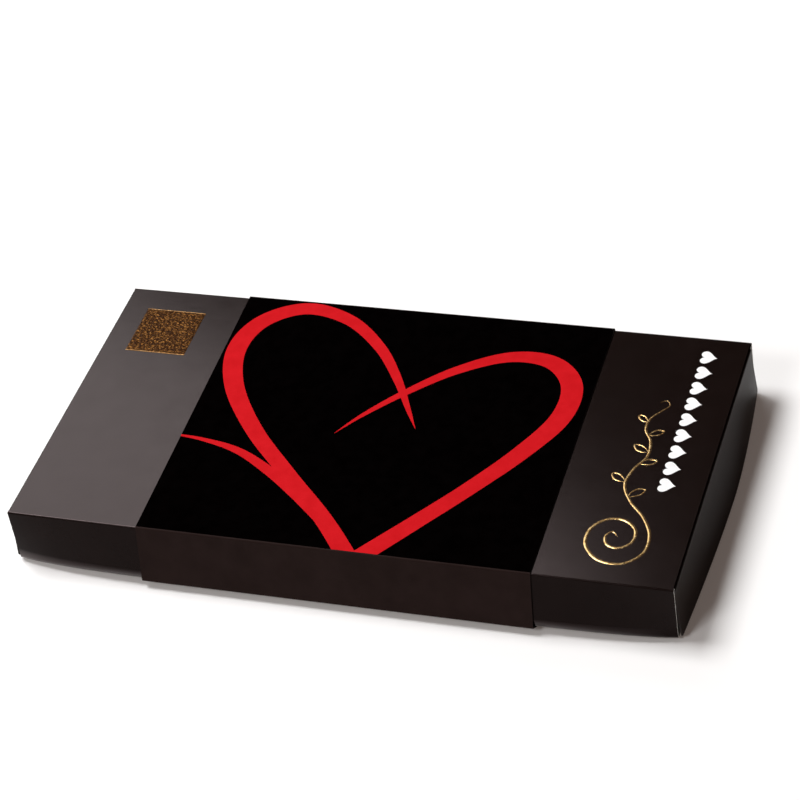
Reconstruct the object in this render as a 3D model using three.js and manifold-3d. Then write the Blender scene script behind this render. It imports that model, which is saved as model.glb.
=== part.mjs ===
// Heart chocolate box: a slide box of folded black board with a loose printed band round it.
// Millimetres. +X runs along the box, +Y to its back and +Z up. The origin is under the band's middle.

import * as THREE from "three";
import { mergeVertices } from "three/addons/utils/BufferGeometryUtils.js";
import Module from "manifold-3d";

const wasm = await Module();
wasm.setup();

// Outer shell: a wrapped tube, open at both ends
const SHELL_LENGTH = 330;
const SHELL_WIDTH = 174;
const SHELL_HEIGHT = 31.6;
const SHELL_BOARD = 0.5;
const FOLD_RADIUS = 1; // outside of the folds along the top
const FOOT_RADIUS = 2.5; // outside of the rolled folds along the bottom, at the mouths
const FOOT_SWELL = 3.5; // how much softer these folds are midway between the mouths
const WALL_LEAN = 7.3; // how far a long wall's foot springs out midway; the tray holds it at the mouths
const LEAN_FALL = 6; // power with which the lean is lost towards a mouth
const HEM_DEPTH = 12; // top panel turned in at each mouth
const HEM_SIDE_CUT = 1.5; // hem stops short of the side walls
const GLUE_FLAP = 12; // turned up inside the back wall
const GLUE_FLAP_TAPER = 4;

// Printed band: a closed loop round the shell
const BAND_LENGTH = 195.5;
const BAND_BOARD = 0.5;
const BAND_GAP = 0.3;
const BAND_OVERLAP = 25; // glued overlap, on the inside of the bottom
const BAND_OVERLAP_INSET = 8; // from the bend at the back of the band's bottom
const BAND_CREASE_RADIUS = 0.8; // outside of the creases at the foot
const BAND_TUCK_ANGLE = 53; // degrees below the level at which the strip under a foot crease faces

// Drawer tray: end walls roll over the rim and hang down outside
const TRAY_BOARD = 0.5;
const TRAY_SIDE_GAP = 0.5;
const TRAY_FLOOR_GAP = 0.3;
const TRAY_TOP_GAP = 0.8;
const TRAY_END_INSET = 0.2; // hanging ply behind the mouth, at its top
const TAB_WIDTH = 14;
const TAB_TAPER = 2;
const TAB_AIR = 0.3; // between a corner tab and the hanging ply
const BOW_AT_CORNERS = 1.8; // how far the free lower edge stands out
const BOW_RISE = 4.8; // and how much further at its peak
const BOW_PEAK_Y = 12;
const BOW_FALL = 1.6; // power of the fall from the peak to a corner
const BOW_LEAN = 1.25; // power of the lean from the rim to the lower edge

// Dividers: halved together, long ones slotted from below
const COLUMNS = 6;
const ROWS = 3;
const DIVIDER_BOARD = 0.6;
const DIVIDER_HEIGHT = 22;
const DIVIDER_CORNER = 2; // cut off every corner, the lower ones clear the tray's folds
const SLOT_PLAY = 0.3;

// Cups and chocolates
const CUP_GAP = 1; // between a cup's lip and the dividers
const CUP_FLARE = 5; // lip radius less base radius
const CUP_HEIGHT = 18;
const CUP_PAPER = 0.3;
const CUP_FLUTES = 20;
const FLUTE_DEPTH = 0.7;
const PIECE_GAP = 0.5; // between a chocolate and the cup's wall
const DOME_HEIGHT = 21;
const DOME_WALL = 5.8; // upright part of the dome's side
const HEART_HEIGHT = 19;
const HEART_SHIFT = 1.2; // centres the heart curve, in the curve's own units
const SQUARE_HEIGHT = 17;
const SQUARE_CORNER = 4;
const RIDGE_WIDTH = 2.4;
const RIDGE_HEIGHT = 1.2;
const RIDGE_COUNT = 3;
const RIDGE_PITCH = 6;
const CROWN_SHARE = 0.45; // of a chocolate's height and radius that is rounded over

// Pieces that rest on each other keep this much air, and glued plies run a little into each other
const SEAT_GAP = 0.3;
const GLUE_BITE = 0.25;

// How finely curves are cut
const FOLD_STEPS = 4;
const LEAN_STATIONS = 5; // from the middle to a mouth
const CORNER_STEPS = 2; // of a square chocolate
const RIM_STEPS = 4;
const BOW_STATIONS = 10;
const BOW_LEVELS = 4;
const DOME_SIDES = 20;
const HEART_POINTS = 26;
const CROWN_LEVELS = 4;

// Heights and half sizes that follow from them
const shellFoot = 2 * BAND_BOARD + BAND_GAP;
const shellTop = shellFoot + SHELL_HEIGHT;
const shellFloor = shellFoot + SHELL_BOARD;
const shellCeiling = shellTop - SHELL_BOARD;
const shellFront = -SHELL_WIDTH / 2;
const shellBack = SHELL_WIDTH / 2;
const mouthX = SHELL_LENGTH / 2;

const bandReach = BAND_GAP + BAND_BOARD;
const bandTuck = THREE.MathUtils.degToRad(BAND_TUCK_ANGLE);

const trayFoot = shellFloor + TRAY_FLOOR_GAP;
const trayFloor = trayFoot + TRAY_BOARD;
const trayRim = shellCeiling - SHELL_BOARD - TRAY_TOP_GAP;
const trayFront = shellFront + SHELL_BOARD + TRAY_SIDE_GAP;
const trayBack = shellBack - 2 * SHELL_BOARD - TRAY_SIDE_GAP;
const trayMiddleY = (trayFront + trayBack) / 2;
const trayFootRadius = FOOT_RADIUS - SHELL_BOARD;
const plyOuterX = mouthX - TRAY_END_INSET;
const plyInnerX = plyOuterX - TRAY_BOARD;
const endOuterX = plyInnerX - TAB_AIR - TRAY_BOARD;
const endInnerX = endOuterX - TRAY_BOARD;

const roomFront = trayFront + TRAY_BOARD;
const roomBack = trayBack - TRAY_BOARD;
const cellX = (2 * endInnerX - (COLUMNS - 1) * DIVIDER_BOARD) / COLUMNS;
const cellY = (roomBack - roomFront - (ROWS - 1) * DIVIDER_BOARD) / ROWS;
const pitchX = cellX + DIVIDER_BOARD;
const pitchY = cellY + DIVIDER_BOARD;
const dividerFoot = trayFloor + SEAT_GAP;

const cupLip = Math.min(cellX, cellY) / 2 - CUP_GAP - FLUTE_DEPTH;
const cupBase = cupLip - CUP_FLARE;
const cupFoot = trayFloor + SEAT_GAP;
const pieceFoot = cupFoot + CUP_PAPER + SEAT_GAP;
const pieceRadius = cupBase - CUP_PAPER - PIECE_GAP;

const finishes = {
  board: { color: 0x1d1918, roughness: 0.42 },
  print: { color: 0x050404, roughness: 0.3 },
  tray: { color: 0x211b1a, roughness: 0.45 },
  divider: { color: 0x17110f, roughness: 0.7 },
  cup: { color: 0x5a3a24, roughness: 0.8 },
  dark: { color: 0x2a1208, roughness: 0.32 },
  milk: { color: 0x5b2c14, roughness: 0.36 },
  ruby: { color: 0x8c1218, roughness: 0.34 },
};

/** A closed three.js geometry as a solid that can be joined and cut. */
function solidOf(geometry) {
  const bare = geometry.index ? geometry.toNonIndexed() : geometry.clone();
  bare.deleteAttribute("normal");
  bare.deleteAttribute("uv");
  const merged = mergeVertices(bare, 1e-4);
  const corners = [];
  for (let i = 0; i < merged.index.count; i += 3) {
    const [a, b, c] = merged.index.array.slice(i, i + 3);
    // Where an arc meets a line, three.js can leave a face that merging has closed up.
    if (a !== b && b !== c && c !== a) {
      corners.push(a, b, c);
    }
  }
  const mesh = new wasm.Mesh({
    numProp: 3,
    vertProperties: new Float32Array(merged.attributes.position.array),
    triVerts: new Uint32Array(corners),
  });
  return new wasm.Manifold(mesh);
}

/** A joined or cut solid back as a geometry. */
function geometryOf(solid) {
  const mesh = solid.getMesh();
  const geometry = new THREE.BufferGeometry();
  geometry.setAttribute("position", new THREE.Float32BufferAttribute(mesh.vertProperties, 3));
  geometry.setIndex(new THREE.Uint32BufferAttribute(mesh.triVerts, 1));
  geometry.computeVertexNormals();
  return geometry;
}

/** A box between two corners. */
function block([x0, y0, z0], [x1, y1, z1]) {
  const geometry = new THREE.BoxGeometry(x1 - x0, y1 - y0, z1 - z0);
  geometry.translate((x0 + x1) / 2, (y0 + y1) / 2, (z0 + z1) / 2);
  return geometry;
}

/** Extrudes a shape drawn in Y and Z along X, from -length / 2 to length / 2. */
function alongX(shape, length) {
  const geometry = new THREE.ExtrudeGeometry(shape, {
    depth: length,
    bevelEnabled: false,
    curveSegments: FOLD_STEPS,
  });
  geometry.translate(0, 0, -length / 2);
  const yAxis = new THREE.Vector3(0, 1, 0);
  const zAxis = new THREE.Vector3(0, 0, 1);
  const xAxis = new THREE.Vector3(1, 0, 0);
  geometry.applyMatrix4(new THREE.Matrix4().makeBasis(yAxis, zAxis, xAxis));
  return geometry;
}

/** Extrudes a shape drawn in X and Z along Y, between two values of Y. */
function alongY(shape, y0, y1) {
  const geometry = new THREE.ExtrudeGeometry(shape, {
    depth: y1 - y0,
    bevelEnabled: false,
    curveSegments: RIM_STEPS,
  });
  geometry.rotateX(Math.PI / 2);
  geometry.translate(0, y1, 0);
  return geometry;
}

/** Draws a closed rectangle into a shape or a hole, with one radius below and one on top. */
function roundedRectangle(path, [x0, y0, x1, y1], low, high) {
  path.moveTo(x0 + low, y0);
  path.lineTo(x1 - low, y0);
  path.absarc(x1 - low, y0 + low, low, -Math.PI / 2, 0);
  path.lineTo(x1, y1 - high);
  path.absarc(x1 - high, y1 - high, high, 0, Math.PI / 2);
  path.lineTo(x0 + high, y1);
  path.absarc(x0 + high, y1 - high, high, Math.PI / 2, Math.PI);
  path.lineTo(x0, y0 + low);
  path.absarc(x0 + low, y0 + low, low, Math.PI, 1.5 * Math.PI);
  return path;
}

/** The middle of the arc that rounds one corner of an outline of Y and Z. */
function foldMiddle(corners, index, radius) {
  const corner = corners[index];
  const back = corners.at(index - 1).clone().sub(corner).normalize();
  const on = corners[(index + 1) % corners.length].clone().sub(corner).normalize();
  const halfAngle = Math.acos(back.dot(on)) / 2;
  return back.add(on).normalize().multiplyScalar(radius / Math.sin(halfAngle)).add(corner);
}

/** A counter-clockwise outline with its corners rounded by a radius each. */
function rounded(corners, radii) {
  return corners.flatMap((corner, index) => {
    const middle = foldMiddle(corners, index, radii[index]);
    const back = corners.at(index - 1).clone().sub(corner).normalize();
    const on = corners[(index + 1) % corners.length].clone().sub(corner).normalize();
    const start = back.multiplyScalar(middle.clone().sub(corner).dot(back)).add(corner);
    const end = on.multiplyScalar(middle.clone().sub(corner).dot(on)).add(corner);
    const from = start.clone().sub(middle).angle();
    const sweep = THREE.MathUtils.euclideanModulo(end.clone().sub(middle).angle() - from, 2 * Math.PI);
    return Array.from({ length: FOLD_STEPS + 1 }, (_, step) => {
      const angle = from + (sweep * step) / FOLD_STEPS;
      const arm = new THREE.Vector2(Math.cos(angle), Math.sin(angle));
      return arm.multiplyScalar(radii[index]).add(middle);
    });
  });
}

/** A counter-clockwise outline with every side moved in by one distance, or out by a negative one. */
function inset(corners, distance) {
  return corners.map((corner, index) => {
    const before = corner.clone().sub(corners.at(index - 1)).normalize();
    const after = corners[(index + 1) % corners.length].clone().sub(corner).normalize();
    const inward = new THREE.Vector2(-before.y - after.y, before.x + after.x);
    return corner.clone().addScaledVector(inward, distance / (1 + before.dot(after)));
  });
}

/** A tube of board along X, folded round an outline of Y and Z. */
function wrappedTube(corners, radii, board, length) {
  const outline = new THREE.Shape(rounded(corners, radii));
  const hole = new THREE.Path(rounded(inset(corners, board), radii.map((radius) => radius - board)));
  outline.holes.push(hole);
  return alongX(outline, length);
}

/** A closed skin through sections of as many points each, flat at both ends, facing out. */
function loft(sections, flatten) {
  const triangles = [];
  const count = sections[0].length;
  for (let s = 0; s + 1 < sections.length; s++) {
    for (let i = 0; i < count; i++) {
      const j = (i + 1) % count;
      const [a, b, c, d] = [sections[s][i], sections[s][j], sections[s + 1][j], sections[s + 1][i]];
      // Folding along the shorter diagonal, the two sides of a thin wall fold alike and can't cross.
      if (a.distanceTo(c) <= b.distanceTo(d)) {
        triangles.push([a, b, c], [a, c, d]);
      } else {
        triangles.push([a, b, d], [b, c, d]);
      }
    }
  }
  for (const [section, isLast] of [[sections[0], false], [sections.at(-1), true]]) {
    const flat = section.map(flatten);
    const keepsOrder = THREE.ShapeUtils.isClockWise(flat) !== isLast;
    for (const corners of THREE.ShapeUtils.triangulateShape(flat, [])) {
      const [a, b, c] = corners.map((index) => section[index]);
      triangles.push(keepsOrder ? [a, b, c] : [a, c, b]);
    }
  }
  const volume = triangles.reduce((sum, [a, b, c]) => sum + a.dot(b.clone().cross(c)), 0);
  const facingOut = triangles.map(([a, b, c]) => (volume > 0 ? [a, b, c] : [a, c, b]));
  return new THREE.BufferGeometry().setFromPoints(facingOut.flat());
}

/** The turned-in hem at the +X end of the top panel, with its round edge. */
function hemGeometry() {
  const bendX = mouthX - SHELL_BOARD;
  const shape = new THREE.Shape();
  shape.moveTo(mouthX - HEM_DEPTH, shellTop - 2 * SHELL_BOARD);
  shape.lineTo(bendX, shellTop - 2 * SHELL_BOARD);
  shape.absarc(bendX, shellTop - SHELL_BOARD, SHELL_BOARD, -Math.PI / 2, Math.PI / 2);
  shape.lineTo(mouthX - HEM_DEPTH, shellTop);
  return alongY(shape, shellFront + HEM_SIDE_CUT, shellBack - HEM_SIDE_CUT);
}

/** The shell's outside at a place along it: the corners of Y and Z, and the radii that round them. */
function shellSection(x) {
  const share = Math.max(0, 1 - Math.abs(x / mouthX) ** LEAN_FALL);
  const lean = WALL_LEAN * share;
  const footRadius = FOOT_RADIUS + FOOT_SWELL * share;
  const corners = [
    new THREE.Vector2(shellFront - lean, shellFoot),
    new THREE.Vector2(shellBack + lean, shellFoot),
    new THREE.Vector2(shellBack, shellTop),
    new THREE.Vector2(shellFront, shellTop),
  ];
  return { corners, radii: [footRadius, footRadius, FOLD_RADIUS, FOLD_RADIUS] };
}

/** Places along the shell at which its sections stand, closer together towards the mouths. */
function shellStations() {
  return Array.from({ length: 2 * LEAN_STATIONS + 1 }, (_, index) => {
    const turn = (Math.PI / 2) * (index / LEAN_STATIONS - 1);
    return mouthX * Math.sin(turn);
  });
}

/** One side of the shell's board as a closed solid through its sections. */
function shellSkin(stepIn, stations) {
  const sections = stations.map((x) => {
    const { corners, radii } = shellSection(x);
    const ring = rounded(inset(corners, stepIn), radii.map((radius) => radius - stepIn));
    return ring.map((point) => new THREE.Vector3(x, point.x, point.y));
  });
  return loft(sections, (point) => new THREE.Vector2(point.y, point.z));
}

/** The glue flap inside the back wall, which it follows, tapered towards both mouths. */
function glueFlapGeometry() {
  const low = shellFoot + FOOT_RADIUS + FOOT_SWELL + WALL_LEAN / 4;
  const wallAt = (x, z) => {
    const [, foot, top] = inset(shellSection(x).corners, SHELL_BOARD);
    return THREE.MathUtils.mapLinear(z, foot.y, top.y, foot.x, top.x);
  };
  const highEnd = mouthX - GLUE_FLAP_TAPER;
  const sections = shellStations().map((x) => {
    const highX = THREE.MathUtils.clamp(x, -highEnd, highEnd);
    const places = [[x, low], [highX, low + GLUE_FLAP]];
    const inner = places.map(([px, z]) => new THREE.Vector3(px, wallAt(px, z) - SHELL_BOARD, z));
    const outer = places.map(([px, z]) => new THREE.Vector3(px, wallAt(px, z) + GLUE_BITE, z));
    return [...inner, ...outer.reverse()];
  });
  return loft(sections, (point) => new THREE.Vector2(point.y, point.z));
}

/** The tube with its hems and glue flap. */
function outerShell() {
  const stations = shellStations();
  const beyond = mouthX + SHELL_BOARD;
  const room = shellSkin(SHELL_BOARD, [-beyond, ...stations, beyond]);
  let solid = solidOf(shellSkin(0, stations)).subtract(solidOf(room));
  for (const side of [1, -1]) {
    const from = [mouthX - SHELL_BOARD, shellFront + HEM_SIDE_CUT, shellCeiling - SHELL_BOARD];
    const to = [mouthX + SHELL_BOARD, shellBack - HEM_SIDE_CUT, shellTop + SHELL_BOARD];
    const rawEdge = block(from, to);
    const hem = hemGeometry();
    if (side < 0) {
      rawEdge.rotateZ(Math.PI);
      hem.rotateZ(Math.PI);
    }
    solid = solid.subtract(solidOf(rawEdge)).add(solidOf(hem));
  }
  return geometryOf(solid.add(solidOf(glueFlapGeometry())));
}

/** The band's outside in Y and Z. Its foot creases stand clear of the shell's folds and of the table. */
function bandCorners() {
  const { corners, radii } = shellSection(0);
  const [wallFoot, , , wallTop] = inset(corners, -bandReach);
  const facing = new THREE.Vector2(-Math.cos(bandTuck), -Math.sin(bandTuck));
  const reach = foldMiddle(corners, 0, radii[0]).dot(facing) + radii[0] + bandReach;
  const down = wallFoot.clone().sub(wallTop);
  const share = (reach - wallTop.dot(facing)) / down.dot(facing);
  const crease = wallTop.clone().addScaledVector(down, share);
  const bend = new THREE.Vector2(reach / facing.x, 0);
  const front = [wallTop, crease, bend];
  const back = front.map((corner) => new THREE.Vector2(-corner.x, corner.y));
  return [...front, ...back.reverse()];
}

/** The closed band, with the glued overlap inside its bottom. */
function printedBand() {
  const corners = bandCorners();
  const radii = corners.map((corner) => (corner.y > shellTop ? FOLD_RADIUS : BAND_CREASE_RADIUS));
  const loop = wrappedTube(corners, radii, BAND_BOARD, BAND_LENGTH);
  const overlapBack = corners[3].x - BAND_OVERLAP_INSET;
  const overlap = block(
    [-BAND_LENGTH / 2, overlapBack - BAND_OVERLAP, BAND_BOARD - GLUE_BITE],
    [BAND_LENGTH / 2, overlapBack, 2 * BAND_BOARD],
  );
  return geometryOf(solidOf(loop).add(solidOf(overlap)));
}

/** How far the hanging ply's free lower edge stands out at a place across the box. */
function bowAt(y) {
  const reach = y < BOW_PEAK_Y ? BOW_PEAK_Y - trayFront : trayBack - BOW_PEAK_Y;
  const away = Math.abs(y - BOW_PEAK_Y) / reach;
  return BOW_AT_CORNERS + BOW_RISE * (1 - away ** BOW_FALL);
}

/** The section of the rolled end wall in X and Z: up inside, over the rim and down outside. */
function endWallSection(y) {
  const outerRound = (plyOuterX - endInnerX) / 2;
  const innerRound = (plyInnerX - endOuterX) / 2;
  const roundX = endInnerX + outerRound;
  const roundZ = trayRim - outerRound;
  const bow = bowAt(y);
  const points = [];
  const add = (x, z) => points.push(new THREE.Vector3(x, y, z));
  const arc = (radius, from, to) => {
    for (let i = 0; i <= RIM_STEPS; i++) {
      const angle = from + ((to - from) * i) / RIM_STEPS;
      add(roundX + radius * Math.cos(angle), roundZ + radius * Math.sin(angle));
    }
  };
  add(endInnerX, trayFoot);
  arc(outerRound, Math.PI, 0);
  for (let i = 1; i <= BOW_LEVELS; i++) {
    const down = i / BOW_LEVELS;
    add(plyOuterX + bow * down ** BOW_LEAN, roundZ + (trayFoot - roundZ) * down);
  }
  for (let i = BOW_LEVELS; i >= 1; i--) {
    const down = i / BOW_LEVELS;
    add(plyInnerX + bow * down ** BOW_LEAN, roundZ + (trayFoot - roundZ) * down);
  }
  arc(innerRound, 0, Math.PI);
  add(endOuterX, trayFoot);
  return points;
}

/** The rolled end wall at +X. */
function endWallGeometry() {
  const sections = [];
  for (let i = 0; i <= BOW_STATIONS; i++) {
    const share = (1 - Math.cos((Math.PI * i) / BOW_STATIONS)) / 2;
    sections.push(endWallSection(trayFront + (trayBack - trayFront) * share));
  }
  return loft(sections, (point) => new THREE.Vector2(point.x, point.z));
}

/** A corner tab glued to the outside of the inner ply, from the front wall at +X. */
function cornerTabGeometry() {
  const shape = new THREE.Shape();
  shape.moveTo(trayFront, trayFoot);
  shape.lineTo(trayFront + TAB_WIDTH, trayFoot + TAB_TAPER);
  shape.lineTo(trayFront + TAB_WIDTH, trayRim - 2 * TAB_TAPER);
  shape.lineTo(trayFront, trayRim - TAB_TAPER);
  const tab = alongX(shape, TRAY_BOARD + GLUE_BITE);
  tab.translate(endOuterX + (TRAY_BOARD - GLUE_BITE) / 2, 0, 0);
  return tab;
}

/** The tray's outside in Y and Z, and its inside when the walls are counted off; open on top. */
function troughPath(path, front, foot, back, radius) {
  path.moveTo(front, trayRim);
  path.lineTo(front, foot + radius);
  path.absarc(front + radius, foot + radius, radius, Math.PI, 1.5 * Math.PI);
  path.lineTo(back - radius, foot);
  path.absarc(back - radius, foot + radius, radius, 1.5 * Math.PI, 2 * Math.PI);
  path.lineTo(back, trayRim);
  return path;
}

/** The folded drawer: a trough with long walls, closed by the rolled end walls. */
function drawerTray() {
  const outline = troughPath(new THREE.Shape(), trayFront, trayFoot, trayBack, trayFootRadius);
  const room = troughPath(new THREE.Path(), roomFront, trayFloor, roomBack, trayFootRadius - TRAY_BOARD);
  const trough = outline.clone();
  for (const { x, y } of room.getPoints(FOLD_STEPS).reverse()) {
    trough.lineTo(x, y);
  }
  const envelope = solidOf(alongX(outline, 2 * (plyOuterX + BOW_AT_CORNERS + BOW_RISE + TRAY_BOARD)));
  let solid = solidOf(alongX(trough, 2 * endOuterX));
  for (const side of [1, -1]) {
    const endWall = endWallGeometry();
    const frontTab = cornerTabGeometry();
    const backTab = cornerTabGeometry();
    backTab.translate(-endOuterX, -trayMiddleY, 0);
    backTab.rotateX(Math.PI);
    backTab.translate(endOuterX, trayMiddleY, trayFoot + trayRim - TAB_TAPER);
    for (const piece of [endWall, frontTab, backTab]) {
      let part = solidOf(piece).intersect(envelope);
      if (side < 0) {
        part = part.mirror([1, 0, 0]);
      }
      solid = solid.add(part);
    }
  }
  return geometryOf(solid);
}

/** A divider's face in X and Z, with slots open at the top or at the bottom. */
function dividerGeometry(length, slotPlaces, slotsFromTop) {
  const width = DIVIDER_BOARD + 2 * SLOT_PLAY;
  const top = dividerFoot + DIVIDER_HEIGHT;
  const middle = dividerFoot + DIVIDER_HEIGHT / 2;
  const shape = new THREE.Shape();
  shape.moveTo(-length / 2, dividerFoot + DIVIDER_CORNER);
  shape.lineTo(-length / 2 + DIVIDER_CORNER, dividerFoot);
  if (!slotsFromTop) {
    for (const place of slotPlaces) {
      shape.lineTo(place - width / 2, dividerFoot);
      shape.lineTo(place - width / 2, middle + SLOT_PLAY / 2);
      shape.lineTo(place + width / 2, middle + SLOT_PLAY / 2);
      shape.lineTo(place + width / 2, dividerFoot);
    }
  }
  shape.lineTo(length / 2 - DIVIDER_CORNER, dividerFoot);
  shape.lineTo(length / 2, dividerFoot + DIVIDER_CORNER);
  shape.lineTo(length / 2, top - DIVIDER_CORNER);
  shape.lineTo(length / 2 - DIVIDER_CORNER, top);
  if (slotsFromTop) {
    for (const place of [...slotPlaces].reverse()) {
      shape.lineTo(place + width / 2, top);
      shape.lineTo(place + width / 2, middle - SLOT_PLAY / 2);
      shape.lineTo(place - width / 2, middle - SLOT_PLAY / 2);
      shape.lineTo(place - width / 2, top);
    }
  }
  shape.lineTo(-length / 2 + DIVIDER_CORNER, top);
  shape.lineTo(-length / 2, top - DIVIDER_CORNER);
  return alongY(shape, -DIVIDER_BOARD / 2, DIVIDER_BOARD / 2);
}

/** Places of the walls between cells, or of the cells, along one axis round zero. */
function places(count, pitch) {
  return Array.from({ length: count }, (_, i) => (i - (count - 1) / 2) * pitch);
}

/** A fluted paper cup standing on z = 0; its flutes deepen from nothing at the base to the lip. */
function cupGeometry() {
  const count = 2 * CUP_FLUTES;
  const ring = (radius, depth, z) => Array.from({ length: count }, (_, i) => {
    const angle = (2 * Math.PI * i) / count;
    const folded = i % 2 ? radius + depth : radius - depth;
    return new THREE.Vector3(folded * Math.cos(angle), folded * Math.sin(angle), z);
  });
  const sections = [
    ring(cupBase, 0, 0),
    ring(cupLip, FLUTE_DEPTH, CUP_HEIGHT),
    ring(cupLip - CUP_PAPER, FLUTE_DEPTH, CUP_HEIGHT),
    ring(cupBase - CUP_PAPER, 0, CUP_PAPER),
  ];
  return loft(sections, (point) => new THREE.Vector2(point.x, point.y));
}

/** A chocolate with upright sides and a rounded crown over an outline in X and Y. */
function pillow(outline, height) {
  const wall = height * (1 - CROWN_SHARE);
  const ring = (scale, z) => outline.map(([x, y]) => new THREE.Vector3(x * scale, y * scale, z));
  const sections = [ring(1, 0)];
  for (let i = 0; i < CROWN_LEVELS; i++) {
    const angle = ((Math.PI / 2) * i) / CROWN_LEVELS;
    const inset = 1 - Math.cos(angle);
    sections.push(ring(1 - inset * CROWN_SHARE, wall + (height - wall) * Math.sin(angle)));
  }
  sections.push(ring(1 - CROWN_SHARE, height));
  return loft(sections, (point) => new THREE.Vector2(point.x, point.y));
}

/** A domed chocolate. */
function domeGeometry() {
  const profile = [new THREE.Vector2(0, 0), new THREE.Vector2(pieceRadius, 0)];
  const steps = 2 * CROWN_LEVELS - 2;
  for (let i = 0; i <= steps; i++) {
    const angle = ((Math.PI / 2) * i) / steps;
    const radius = i === steps ? 0 : pieceRadius * Math.cos(angle);
    profile.push(new THREE.Vector2(radius, DOME_WALL + (DOME_HEIGHT - DOME_WALL) * Math.sin(angle)));
  }
  const geometry = new THREE.LatheGeometry(profile, DOME_SIDES);
  geometry.rotateX(Math.PI / 2);
  return geometry;
}

/** A heart-shaped chocolate, drawn with the usual sine and cosine heart curve. */
function heartGeometry() {
  const raw = Array.from({ length: HEART_POINTS }, (_, i) => {
    const t = (-2 * Math.PI * (i + 0.5)) / HEART_POINTS;
    const x = 16 * Math.sin(t) ** 3;
    const y = 13 * Math.cos(t) - 5 * Math.cos(2 * t) - 2 * Math.cos(3 * t) - Math.cos(4 * t);
    return [x, y + HEART_SHIFT];
  });
  const reach = Math.max(...raw.map(([x, y]) => Math.hypot(x, y)));
  const scale = pieceRadius / reach;
  return pillow(raw.map(([x, y]) => [x * scale, y * scale]), HEART_HEIGHT);
}

/** A square chocolate with rounded corners and slanting ridges on top. */
function squareGeometry() {
  const half = SQUARE_CORNER + (pieceRadius - SQUARE_CORNER) / Math.SQRT2;
  const corners = [-half, -half, half, half];
  const shape = roundedRectangle(new THREE.Shape(), corners, SQUARE_CORNER, SQUARE_CORNER);
  const points = shape.getPoints(CORNER_STEPS).slice(0, -1);
  let solid = solidOf(pillow(points.map(({ x, y }) => [x, y]), SQUARE_HEIGHT));
  const ridgeHalf = half * (1 - CROWN_SHARE);
  for (const place of places(RIDGE_COUNT, RIDGE_PITCH)) {
    const low = [-ridgeHalf, -RIDGE_WIDTH / 2, SQUARE_HEIGHT * (1 - CROWN_SHARE)];
    const high = [ridgeHalf, RIDGE_WIDTH / 2, SQUARE_HEIGHT + RIDGE_HEIGHT];
    const ridge = block(low, high);
    ridge.translate(0, place, 0);
    ridge.rotateZ(Math.PI / 4);
    solid = solid.add(solidOf(ridge));
  }
  return geometryOf(solid);
}

/** A named mesh with its own material. */
function piece(name, geometry, finish) {
  const material = new THREE.MeshStandardMaterial({ ...finishes[finish], metalness: 0 });
  const mesh = new THREE.Mesh(geometry, material);
  mesh.name = name;
  return mesh;
}

/** The slotted grid that parts the drawer into cells. */
function dividers() {
  const group = new THREE.Group();
  const longPlaces = places(ROWS - 1, pitchY);
  const crossPlaces = places(COLUMNS - 1, pitchX);
  const longLength = 2 * (endInnerX - SEAT_GAP);
  const crossLength = roomBack - roomFront - 2 * SEAT_GAP;
  longPlaces.forEach((y, i) => {
    const geometry = dividerGeometry(longLength, crossPlaces, false);
    const mesh = piece(`long_divider_${i + 1}`, geometry, "divider");
    mesh.position.y = trayMiddleY + y;
    group.add(mesh);
  });
  crossPlaces.forEach((x, i) => {
    const geometry = dividerGeometry(crossLength, longPlaces, true);
    const mesh = piece(`cross_divider_${i + 1}`, geometry, "divider");
    mesh.rotation.z = Math.PI / 2;
    mesh.position.set(x, trayMiddleY, 0);
    group.add(mesh);
  });
  return group;
}

/** A cup with its chocolate in every cell, the three sorts in slanting rows. */
function filling() {
  const group = new THREE.Group();
  const sorts = [
    { name: "dome_chocolate", geometry: domeGeometry(), finish: "dark" },
    { name: "heart_chocolate", geometry: heartGeometry(), finish: "ruby" },
    { name: "square_chocolate", geometry: squareGeometry(), finish: "milk" },
  ];
  const made = sorts.map(() => 0);
  const cup = cupGeometry();
  places(ROWS, pitchY).forEach((y, row) => {
    places(COLUMNS, pitchX).forEach((x, column) => {
      const cell = new THREE.Group();
      const sort = (row + column) % sorts.length;
      const { name, geometry, finish } = sorts[sort];
      made[sort] += 1;
      const chocolate = piece(`${name}_${made[sort]}`, geometry, finish);
      chocolate.position.z = pieceFoot;
      const paper = piece(`paper_cup_${row * COLUMNS + column + 1}`, cup, "cup");
      paper.position.z = cupFoot;
      cell.position.set(x, trayMiddleY + y, 0);
      cell.add(paper, chocolate);
      group.add(cell);
    });
  });
  return group;
}

const box = new THREE.Group();
box.add(piece("outer_shell", outerShell(), "board"));
box.add(piece("printed_band", printedBand(), "print"));
box.add(piece("drawer_tray", drawerTray(), "tray"));
box.add(dividers());
box.add(filling());

export default box;
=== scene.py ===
"""The looks of the heart chocolate box: folded board, printed band, foil, cups and chocolates.

Sizes inside the classes are millimetres, as in the part's source, and turn into metres where a mesh is
made. +X runs along the box, +Y to its back and +Z up.
"""

from __future__ import annotations

import logging
import math
from dataclasses import dataclass, field
from enum import Enum, IntEnum
from typing import Callable, Iterable, Optional, Sequence

import bmesh
import bpy
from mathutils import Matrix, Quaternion, Vector
from mathutils.geometry import delaunay_2d_cdt


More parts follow.
